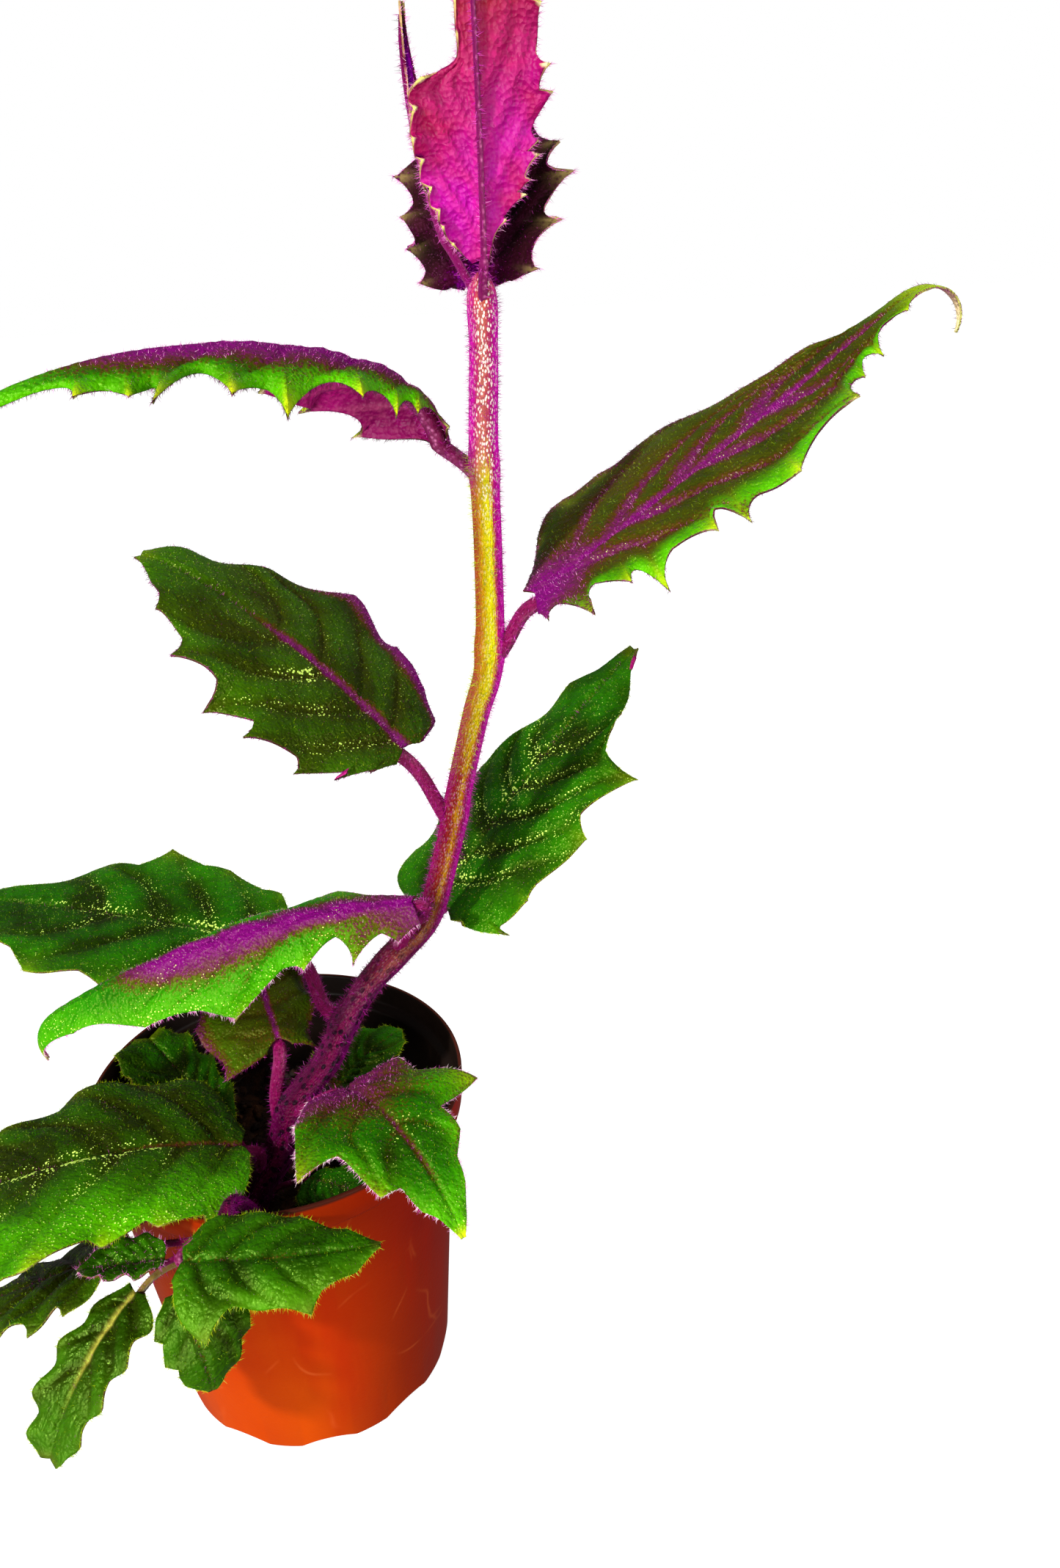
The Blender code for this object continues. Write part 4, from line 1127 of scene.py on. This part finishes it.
def pot_finish():
    """Orange thermoformed plastic: satin, with faint drawn streaks and scuffs, and painted shade: a deeper red
    towards its right side.
    """
    made, tree, shader = new_finish("Orange pot skin", specular_ior_level=0.08)
    where = place(tree)
    right, _, high = axes(tree, where)
    clouds = noise(tree, where, 14, 3)
    drawn = noise(tree, place(tree, "Object", (60, 60, 9)), 1.0, 4)
    colour = mixed(tree, between(tree, clouds, 0.35, 0.65), (170, 46, 1), (188, 66, 2))
    # Painted shade: the orange turns deeper red towards the right side, reaching a little further in higher up.
    shaded = plus(tree, right, between(tree, clouds, 0.3, 0.7, -0.012, 0.012))
    shaded = plus(tree, shaded, between(tree, high, 0.03, 0.1, -0.006, 0.008))
    colour = mixed(tree, between(tree, shaded, 0.004, 0.045, 0, 0.9), colour, (132, 10, 2))
    colour = mixed(tree, between(tree, drawn, 0.5, 0.75, 0, 0.6), colour, (165, 26, 2))
    warp = node(tree, "ShaderNodeTexNoise", {"Vector": where, "Scale": 25.0}).outputs["Color"]
    bent = vectors(tree, "ADD", where, vectors(tree, "MULTIPLY", warp, (0.03, 0.03, 0.03)))
    arcs = between(tree, cells(tree, bent, 26, "DISTANCE_TO_EDGE"), 0.0, 0.02, 1.0, 0.0)
    arcs = times(tree, arcs, between(tree, noise(tree, where, 45, 2), 0.52, 0.7, 0.0, 0.35))
    colour = mixed(tree, arcs, colour, (228, 110, 50))
    colour = mixed(tree, between(tree, high, 0.1046, 0.1054), colour, (70, 28, 18))
    height = plus(tree, drawn, noise(tree, where, 700, 2))
    dress(tree, shader, colour, (drawn, 0.3, 0.7, 0.28, 0.42), height, 0.00015, 0.4)
    return made


def pot_inside_finish():
    made, tree, shader = new_finish("Black pot lining", specular_ior_level=0.15)
    drawn = noise(tree, place(tree, "Object", (50, 50, 9)), 1.0, 4)
    colour = mixed(tree, drawn, (12, 7, 5), (32, 20, 14))
    height = noise(tree, place(tree), 500, 2)
    dress(tree, shader, colour, (drawn, 0.3, 0.7, 0.35, 0.55), height, 0.00015, 0.4)
    return made


def soil_finish():
    made, tree, shader = new_finish("Damp potting mix", specular_ior_level=0.25)
    where = place(tree)
    lumps = noise(tree, where, 160, 5, 0.65)
    colour = ramp(tree, lumps, (
        (0.3, (12, 6, 4)), (0.5, (32, 18, 10)), (0.62, (62, 36, 18)), (0.8, (110, 70, 40))))
    height = noise(tree, where, 600, 4, 0.7)
    dress(tree, shader, colour, (lumps, 0.3, 0.7, 0.55, 0.95), height, 0.001, 0.9)
    return made


# A blade's finishes are those of its upper side, its underside and its margin. An upper side's colours are its
# dark and middle green, the bright green of its painted light, its tips, its olive, the edge and the heart of
# its purple, its gloss and its painted glints.
FINISHES = {
    "grown": (
        leaf_top_finish(
            "Green leaf", (9, 36, 0), (18, 118, 0), (80, 176, 0), (210, 220, 20), (62, 58, 4), (78, 38, 10),
            (112, 2, 100), (235, 255, 110), (215, 250, 110), grain_depth=0.5, shine=0.26),
        leaf_under_finish("Leaf underside", (125, 0, 75), (165, 5, 105), (205, 90, 130)),
        leaf_margin_finish("Leaf margin", (60, 20, 10), (110, 60, 40))),
    "shoot": (
        leaf_top_finish(
            "Shoot leaf", (9, 36, 0), (38, 108, 2), (82, 140, 6), (170, 160, 60), (60, 54, 4), (78, 38, 10),
            (112, 2, 100), (195, 255, 95), (150, 200, 70), grain_depth=0.3, shine=0.32),
        leaf_under_finish("Shoot leaf underside", (80, 20, 40), (110, 50, 50), (180, 120, 100)),
        leaf_margin_finish("Shoot leaf margin", (60, 50, 10), (110, 80, 30))),
    "young": (
        leaf_top_finish(
            "Young leaf", (12, 0, 8), (60, 0, 34), (80, 60, 10), (215, 190, 110), (50, 34, 4), (52, 0, 32),
            (128, 0, 140), (150, 60, 120), (240, 120, 210), grain_depth=0.5, shine=0.26),
        leaf_under_finish("Young leaf underside", (152, 0, 70), (176, 0, 146), (196, 30, 110), (138, 8, 42)),
        leaf_margin_finish("Young leaf margin", (110, 10, 60), (225, 190, 120))),
    # Each stalk: its edge and body colours, then the colour of its painted highlight streak.
    "stalk": stalk_finish("Magenta stalk", (96, 0, 46), (158, 0, 96), (225, 120, 175)),
    "young stalk": stalk_finish("Young stalk", (130, 0, 75), (150, 0, 110), (225, 110, 170)),
    "pale stalk": stalk_finish("Pale stalk", (120, 95, 35), (165, 140, 60), (220, 205, 150)),
    "stem": stem_finish(),
    "hair": hair_finish(),
    "pot": pot_finish(),
    "lining": pot_inside_finish(),
    "soil": soil_finish(),
}


# Stems, pot, soil and hairs.


# How the stem thins over its last four rings, and the direction from its left side to its right side.
STEM_END = (0.97, 0.88, 0.7, 0.35)
STEM_RIGHT = (0.97, 0.24, 0.0)


def make_stem(name, rows, seed):
    """A stem with soft ridges and swollen joints where the stalks leave it."""
    path = smooth_path(rows, STEM_STEP)
    line, radii = path[:, :3], path[:, 3].copy()
    for leaf in LEAVES.values():
        if (leaf["stem"] == "main") == (name == "main_stem"):
            centre = stem_place(leaf, path)[0]
            away = np.linalg.norm(line - centre, axis=1)
            radii += 0.2 * leaf["stalk"] * bell(away, 4.0)
    radii[-4:] *= np.array(STEM_END)
    angle = np.linspace(0, 2 * math.pi, STEM_SIDES + 1)
    length = np.linspace(0, 1, len(line))[:, None]
    ridges = 0.035 * np.cos(7 * angle + 2 * length) + 0.02 * np.cos(11 * angle - 5 * length + seed)
    relief = path[:, 3:] * ridges
    points, ring = tube_points(line, radii, STEM_SIDES, (1, 0, 0), relief)
    piece = tube_piece(name + "_skin", points)
    place_of = points_of(piece) / MM
    nearest = np.array([np.argmin(np.sum((line - point) ** 2, axis=1)) for point in place_of])
    away = unit(place_of - line[nearest])
    write_values(piece, "flank", 0.5 + 0.5 * (away @ np.array(STEM_RIGHT)))
    finish_piece(piece, [name], [FINISHES["stem"]])
    return points, ring


def lathe(name, profile, sides, finish):
    """A turned piece: a disc whose rim is drawn out ring by ring through (radius, height) places."""
    (first_radius, first_height), rest = profile[0], profile[1:]
    piece = fresh_primitive(
        name, bpy.ops.mesh.primitive_circle_add, vertices=sides, radius=first_radius * MM,
        fill_type="TRIFAN", location=(0, 0, 0))
    bpy.ops.object.mode_set(mode="EDIT")
    bpy.ops.mesh.select_all(action="SELECT")
    bpy.ops.transform.translate(value=(0, 0, first_height * MM))
    bpy.ops.mesh.region_to_loop()
    radius, height = first_radius, first_height
    for new_radius, new_height in rest:
        lift = dict(value=(0, 0, (new_height - height) * MM))
        bpy.ops.mesh.extrude_edges_move(TRANSFORM_OT_translate=lift)
        scale = new_radius / radius
        bpy.ops.transform.resize(value=(scale, scale, 1), center_override=(0, 0, new_height * MM))
        radius, height = new_radius, new_height
    bpy.ops.mesh.merge(type="COLLAPSE")
    bpy.ops.mesh.select_all(action="SELECT")
    bpy.ops.mesh.normals_make_consistent(inside=False)
    bpy.ops.object.mode_set(mode="OBJECT")
    piece.data.materials.append(finish)
    return piece


def wall_radius(height):
    return FOOT_RADIUS + (WALL_TOP_RADIUS - FOOT_RADIUS) * height / (POT_HEIGHT - COLLAR_HEIGHT)


def rounded(corners, radius, steps=5):
    """A profile with its inner corners rounded by short arcs."""
    found = [corners[0]]
    for before, corner, after in zip(corners, corners[1:], corners[2:]):
        before, corner, after = (np.array(p, float) for p in (before, corner, after))
        reach = min(radius, *(0.45 * np.linalg.norm(side - corner) for side in (before, after)))
        start, end = (corner + unit(side - corner) * reach for side in (before, after))
        for t in np.linspace(0, 1, steps):
            found.append(tuple(start * (1 - t) ** 2 + 2 * corner * t * (1 - t) + end * t**2))
    found.append(corners[-1])
    return found


def make_pot():
    collar = POT_HEIGHT - COLLAR_HEIGHT
    lip = RIM_RADIUS - WALL
    wall = [(wall_radius(collar * part), collar * part) for part in (0.33, 0.66, 1)]
    corners = [
        (30, 0), (FOOT_RADIUS, 0), *wall, (RIM_RADIUS - 0.8, collar), (RIM_RADIUS - 0.2, collar + 4),
        (RIM_RADIUS, POT_HEIGHT), (lip, POT_HEIGHT), (lip - 0.6, collar + 2 * WALL),
        (wall_radius(collar) - WALL, collar + WALL), (wall_radius(FLOOR) - WALL, FLOOR), (20, FLOOR)]
    piece = lathe("pot_shell", rounded(corners, CORNER_RADIUS), POT_SIDES, FINISHES["pot"])
    piece.data.materials.append(FINISHES["lining"])
    radius = (NOTCH_WIDTH**2 / 4 + NOTCH_HEIGHT**2) / (2 * NOTCH_HEIGHT)
    cutters = []
    for i in range(NOTCHES):
        angle = math.radians(NOTCH_TURN + 360 * i / NOTCHES)
        cutter = fresh_primitive(
            "notch", bpy.ops.mesh.primitive_cylinder_add, vertices=96, radius=radius * MM, depth=8 * MM)
        at_foot = Matrix.Translation((FOOT_RADIUS * MM, 0, (NOTCH_HEIGHT - radius) * MM))
        lying = Matrix.Rotation(math.pi / 2, 4, "Y")
        cutter.data.transform(Matrix.Rotation(angle, 4, "Z") @ at_foot @ lying)
        cutters.append(cutter)
    cutter = joined(cutters)
    apply_modifier(piece, "BOOLEAN", operation="DIFFERENCE", object=cutter)
    bpy.data.objects.remove(cutter, do_unlink=True)
    for face in piece.data.polygons:
        centre = face.center / MM
        away = math.hypot(centre.x, centre.y)
        inside = away < wall_radius(max(centre.z, 0)) - WALL * 0.5 and centre.z > FLOOR * 0.9
        if centre.z > collar + 1:
            outward = face.normal.x * centre.x + face.normal.y * centre.y
            inside = outward < 0 and away < RIM_RADIUS - WALL * 0.8
        face.material_index = int(inside)
    finish_piece(piece, ["pot"])
    piece.data.set_sharp_from_angle(angle=math.radians(40))
    return piece


def make_soil():
    """The soil: an uneven top with loose crumbs on it."""
    draw = np.random.default_rng(12)
    top = wall_radius(SOIL_LEVEL) - WALL - 0.2
    foot = wall_radius(4) - WALL - 0.4
    level = [(top * k, SOIL_LEVEL) for k in np.linspace(0.98, 0.02, SOIL_RINGS)]
    profile = [(foot, 4.0), (top, SOIL_LEVEL - 0.5)] + level
    piece = lathe("soil_body", profile, SOIL_SIDES, FINISHES["soil"])
    points = points_of(piece) / MM
    high = points[:, 2] > SOIL_LEVEL - 0.6
    x, y = points[:, 0], points[:, 1]
    lump = np.zeros(len(points))
    for _ in range(SOIL_WAVES):
        turn = draw.uniform(0, 2 * math.pi)
        rate = draw.uniform(0.15, 0.9)
        phase = (x * math.cos(turn) + y * math.sin(turn)) * rate + draw.uniform(0, 6)
        lump += np.sin(phase) * 0.35 / (rate + 0.25)
    points[high, 2] += lump[high] * 0.8 - 0.5
    set_points(piece, points)
    crumbs = []
    for i in range(CRUMBS):
        size = draw.uniform(0.7, 2.6) if i % 9 else draw.uniform(2.4, 4.2)
        away = top * math.sqrt(draw.uniform(0, 0.93))
        turn = draw.uniform(0, 2 * math.pi)
        crumb = fresh_primitive(
            "crumb", bpy.ops.mesh.primitive_ico_sphere_add, subdivisions=1, radius=size * MM)
        knobs = draw.uniform(0.55, 1.25, (12, 1))
        flatness = np.array([[1, draw.uniform(0.5, 1), draw.uniform(0.4, 0.8)]])
        shape = points_of(crumb) * knobs * flatness
        spin = np.array(Matrix.Rotation(draw.uniform(0, 6.28), 3, "Z"))
        spot = [away * math.cos(turn), away * math.sin(turn), SOIL_LEVEL + draw.uniform(-0.6, 1.0)]
        set_points(crumb, shape @ spin.T / MM + np.array(spot))
        crumb.data.materials.append(FINISHES["soil"])
        crumbs.append(crumb)
    piece = joined([piece] + crumbs)
    finish_piece(piece, ["potting_soil"])
    return piece


# Hairs: how many a square millimetre (along a margin, a millimetre), their length and their radius.
STEM_HAIRS = (1.3, 1.6, 0.06)
STALK_HAIRS = (1.3, 1.4, 0.065)
MARGIN_HAIRS = (3.5, 1.3, 0.06)
UPPER_HAIRS = (0.35, 0.8, 0.045)
UNDER_HAIRS = (0.25, 0.75, 0.045)
# How deep they are rooted, and how far they lean: on stems and stalks, on faces and along margins.
ROOT_DEPTH = 0.08
STEM_LEAN = 0.35
FACE_LEAN = 0.4
MARGIN_LEAN = 0.45
# Tones: the end of the greens, the least of the purples and the usual purple of veins; those of stem and
# stalks; the golden one, and the heights of the stem between which it shows.
LAST_GREEN = 0.24
FIRST_PURPLE = 0.3
VEIN_TONE = 0.72
STEM_TONE = 0.5
STALK_TONE = 0.55
GOLDEN_TONE = 0.24
YELLOW_STRETCH = (205, 286)
# Sizes of a blade's mesh cells, and the length up to which a leaf has the fine one.
CELL = 0.85
FINE_CELL = 0.7
FINE_TO = 60
# The height above which a leaf's hairs go into the upper group.
UPPER_FROM = 200


def hairs(places, normals, lengths, radius, tones, lean, draw):
    """Points and faces of fine spikes, one a place, each a closed three-sided pyramid."""
    count = len(places)
    heading = unit(normals + draw.normal(0, lean, (count, 3)))
    side = unit(np.cross(heading, draw.normal(0, 1, (count, 3))))
    high = np.cross(heading, side)
    corners = []
    for k in range(3):
        angle = 2 * math.pi * k / 3
        aside = (side * math.cos(angle) + high * math.sin(angle)) * radius
        corners.append(places - heading * ROOT_DEPTH + aside)
    corners.append(places + heading * lengths[:, None])
    points = np.stack(corners, 1).reshape(-1, 3)
    start = 4 * np.arange(count)[:, None, None]
    faces = (start + np.array([[0, 1, 3], [1, 2, 3], [2, 0, 3], [2, 1, 0]])[None]).reshape(-1, 3)
    return points, faces, np.repeat(tones, 4)


def hair_piece(name, parts):
    """One piece of all the hairs in parts."""
    points = np.concatenate([part[0] for part in parts])
    tones = np.concatenate([part[2] for part in parts])
    offsets = np.cumsum([0] + [len(part[0]) for part in parts[:-1]])
    faces = np.concatenate([part[1] + offset for part, offset in zip(parts, offsets)])
    mesh = bpy.data.meshes.new(name)
    mesh.from_pydata((points * MM).tolist(), [], faces.tolist())
    piece = bpy.data.objects.new(name, mesh)
    bpy.context.scene.collection.objects.link(piece)
    write_values(piece, "tone", tones)
    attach(piece, "root")
    mesh.materials.append(FINISHES["hair"])
    print(name, len(faces), "triangles")
    return piece


def sample(grid, i, j):
    """Values of a grid at fractional rows and columns."""
    low_i, low_j = (np.minimum(k.astype(int), size - 2) for k, size in zip((i, j), grid.shape))
    a, b = (i - low_i), (j - low_j)
    if grid.ndim == 3:
        a, b = a[:, None], b[:, None]
    return (grid[low_i, low_j] * (1 - a) * (1 - b) + grid[low_i + 1, low_j] * a * (1 - b)
            + grid[low_i, low_j + 1] * (1 - a) * b + grid[low_i + 1, low_j + 1] * a * b)


def tone_spread(tone, count, draw):
    """Tones round one value, kept to the green end or to the purple one."""
    if tone < FIRST_PURPLE:
        return np.clip(draw.normal(tone, 0.08, count), 0, LAST_GREEN)
    return np.clip(draw.normal(tone, 0.12, count), FIRST_PURPLE, 1)


def tube_hairs(points, ring, density, length, radius, tone, draw, golden=None):
    """Hairs all round a tube, yellow between two heights except on its right side."""
    span = np.linalg.norm(points[-1] - points[0], axis=-1).mean()
    girth = np.linalg.norm(np.diff(points, axis=1), axis=-1).sum(1).mean()
    count = int(span * girth * density)
    i = draw.uniform(0, points.shape[0] - 1.01, count)
    j = draw.uniform(0, points.shape[1] - 1.01, count)
    spots = sample(points, i, j)
    outward = unit(sample(ring, i, j))
    darker = 0.18 * np.clip((200 - spots[:, 2]) / 40, 0, 1)
    tones = np.maximum(tone_spread(tone, count, draw) - darker, FIRST_PURPLE)
    if golden:
        inside = (spots[:, 2] > golden[0]) & (spots[:, 2] < golden[1]) & (outward[:, 0] < 0.5)
        tones = np.where(inside, GOLDEN_TONE, tones)
    lengths = length * draw.uniform(0.6, 1.3, count)
    return hairs(spots, outward, lengths, radius, tones, STEM_LEAN, draw)


def face_hairs(points, normals, density, length, radius, tone, draw, purple=None):
    """Hairs over one face of a blade, thicker and purple where the face is."""
    down, across = np.diff(points, axis=0)[:, :-1], np.diff(points, axis=1)[:-1]
    area = np.linalg.norm(np.cross(down, across), axis=-1)
    if purple is not None:
        area = area * (1 + 3 * np.clip(purple[:-1, :-1] - 0.3, 0, 1))
    count = int(area.sum() * density)
    chosen = draw.choice(area.size, count, p=area.ravel() / area.sum())
    i = chosen // area.shape[1] + draw.random(count)
    j = chosen % area.shape[1] + draw.random(count)
    tones = tone_spread(tone, count, draw)
    if purple is not None:
        veined = tone_spread(VEIN_TONE, count, draw)
        tones = np.where(sample(purple, i, j) > 0.4, veined, tones)
    lengths = length * draw.uniform(0.5, 1.3, count)
    return hairs(sample(points, i, j), sample(normals, i, j), lengths, radius, tones, FACE_LEAN, draw)


def margin_hairs(points, density, length, radius, tone, draw):
    """A fringe along both margins."""
    parts = []
    for column, inner in ((0, 1), (-1, -2)):
        edge = points[:, column]
        reach = np.linalg.norm(np.diff(edge, axis=0), axis=1)
        count = int(reach.sum() * density)
        chosen = draw.choice(len(reach), count, p=reach / reach.sum())
        part = draw.random(count)[:, None]
        spots = edge[chosen] * (1 - part) + edge[chosen + 1] * part
        outward = unit(edge - points[:, inner])[chosen]
        tones = tone_spread(tone, count, draw)
        lengths = length * draw.uniform(0.5, 1.3, count)
        parts.append(hairs(spots, outward, lengths, radius, tones, MARGIN_LEAN, draw))
    return parts


def make_plant():
    paths = {"main": smooth_path(MAIN_STEM, STEM_STEP), "side": smooth_path(SIDE_STEM, STEM_STEP)}
    draw = np.random.default_rng(7)
    groups = {"hairs_stem": [], "hairs_upper": [], "hairs_lower": []}
    for k, (name, rows) in enumerate((("main_stem", MAIN_STEM), ("side_stem", SIDE_STEM))):
        points, ring = make_stem(name, rows, k + 1)
        skin = points[8:], ring[8:]
        groups["hairs_stem"].append(tube_hairs(*skin, *STEM_HAIRS, STEM_TONE, draw, YELLOW_STRETCH))
    for k, (name, leaf) in enumerate(LEAVES.items()):
        cell = CELL if leaf["length"] > FINE_TO else FINE_CELL
        points, normals, tube, ring, purple = make_leaf(name, leaf, paths[leaf["stem"]], k + 20, cell)
        group = groups["hairs_upper" if leaf["base"][2] > UPPER_FROM else "hairs_lower"]
        face, fringe, under = leaf["tones"]
        group.append(tube_hairs(tube, ring, *STALK_HAIRS, STALK_TONE, draw))
        group.extend(margin_hairs(points, *MARGIN_HAIRS, fringe, draw))
        group.append(face_hairs(points, normals, *UPPER_HAIRS, face, draw, purple))
        group.append(face_hairs(points, -normals, *UNDER_HAIRS, under, draw))
    for name, parts in groups.items():
        hair_piece(name, parts)


# Camera, floor and light.


def make_stage():
    bpy.ops.object.select_all(action="DESELECT")
    bpy.ops.mesh.primitive_plane_add(size=6, location=(0, 0, 0))
    floor = bpy.context.object
    floor.name = "floor"
    made = new_finish(
        "White floor", roughness=0.9, base_color=(FLOOR_GREY, FLOOR_GREY, FLOOR_GREY, 1),
        specular_ior_level=0.0, emission_color=WHITE, emission_strength=FLOOR_LIGHT)[0]
    floor.data.materials.append(made)
    floor.visible_diffuse = False
    floor.visible_glossy = False
    world = bpy.data.worlds.new("Soft white room")
    bpy.context.scene.world = world
    world.use_nodes = True
    tree = world.node_tree
    room = tree.nodes["Background"]
    room.inputs["Color"].default_value = WHITE
    room.inputs["Strength"].default_value = ROOM_LIGHT
    seen = node(tree, "ShaderNodeBackground", {"Color": WHITE, "Strength": 1.0})
    path = node(tree, "ShaderNodeLightPath")
    both = node(tree, "ShaderNodeMixShader", {0: path.outputs["Is Camera Ray"]})
    tree.links.new(room.outputs[0], both.inputs[1])
    tree.links.new(seen.outputs[0], both.inputs[2])
    tree.links.new(both.outputs[0], tree.nodes["World Output"].inputs["Surface"])
    for name, (spot, kind, size, power) in LAMPS.items():
        light = bpy.data.lights.new(name, kind)
        light.energy = power
        if kind == "SUN":
            light.angle = size
        else:
            light.size = size
        lamp = bpy.data.objects.new(name, light)
        bpy.context.scene.collection.objects.link(lamp)
        lamp.visible_glossy = name != "back"
        lamp.location = Vector(spot) * MM
        lamp.rotation_euler = (Vector(TARGET) - Vector(spot)).to_track_quat("-Z", "Y").to_euler()
    bpy.context.scene.view_settings.view_transform = "Standard"


def make_camera():
    pitch, roll = math.radians(CAMERA_PITCH), math.radians(CAMERA_ROLL)
    forward = Vector((0, math.cos(pitch), -math.sin(pitch)))
    level_up = Vector((0, math.sin(pitch), math.cos(pitch)))
    level_right = Vector((1, 0, 0))
    right = math.cos(roll) * level_right + math.sin(roll) * level_up
    up = math.cos(roll) * level_up - math.sin(roll) * level_right
    camera = bpy.data.cameras.new("camera")
    camera.sensor_width = SENSOR_WIDTH
    camera.lens = FOCAL_PIXELS / PHOTO_HEIGHT * SENSOR_WIDTH
    camera.clip_start = 0.01
    eye = bpy.data.objects.new("camera", camera)
    bpy.context.scene.collection.objects.link(eye)
    turned = Matrix((right, up, -forward)).transposed().to_4x4()
    eye.matrix_world = Matrix.Translation(Vector(CAMERA_PLACE) * MM) @ turned
    bpy.context.scene.camera = eye


make_camera()
make_stage()
make_pot()
make_soil()
make_plant()
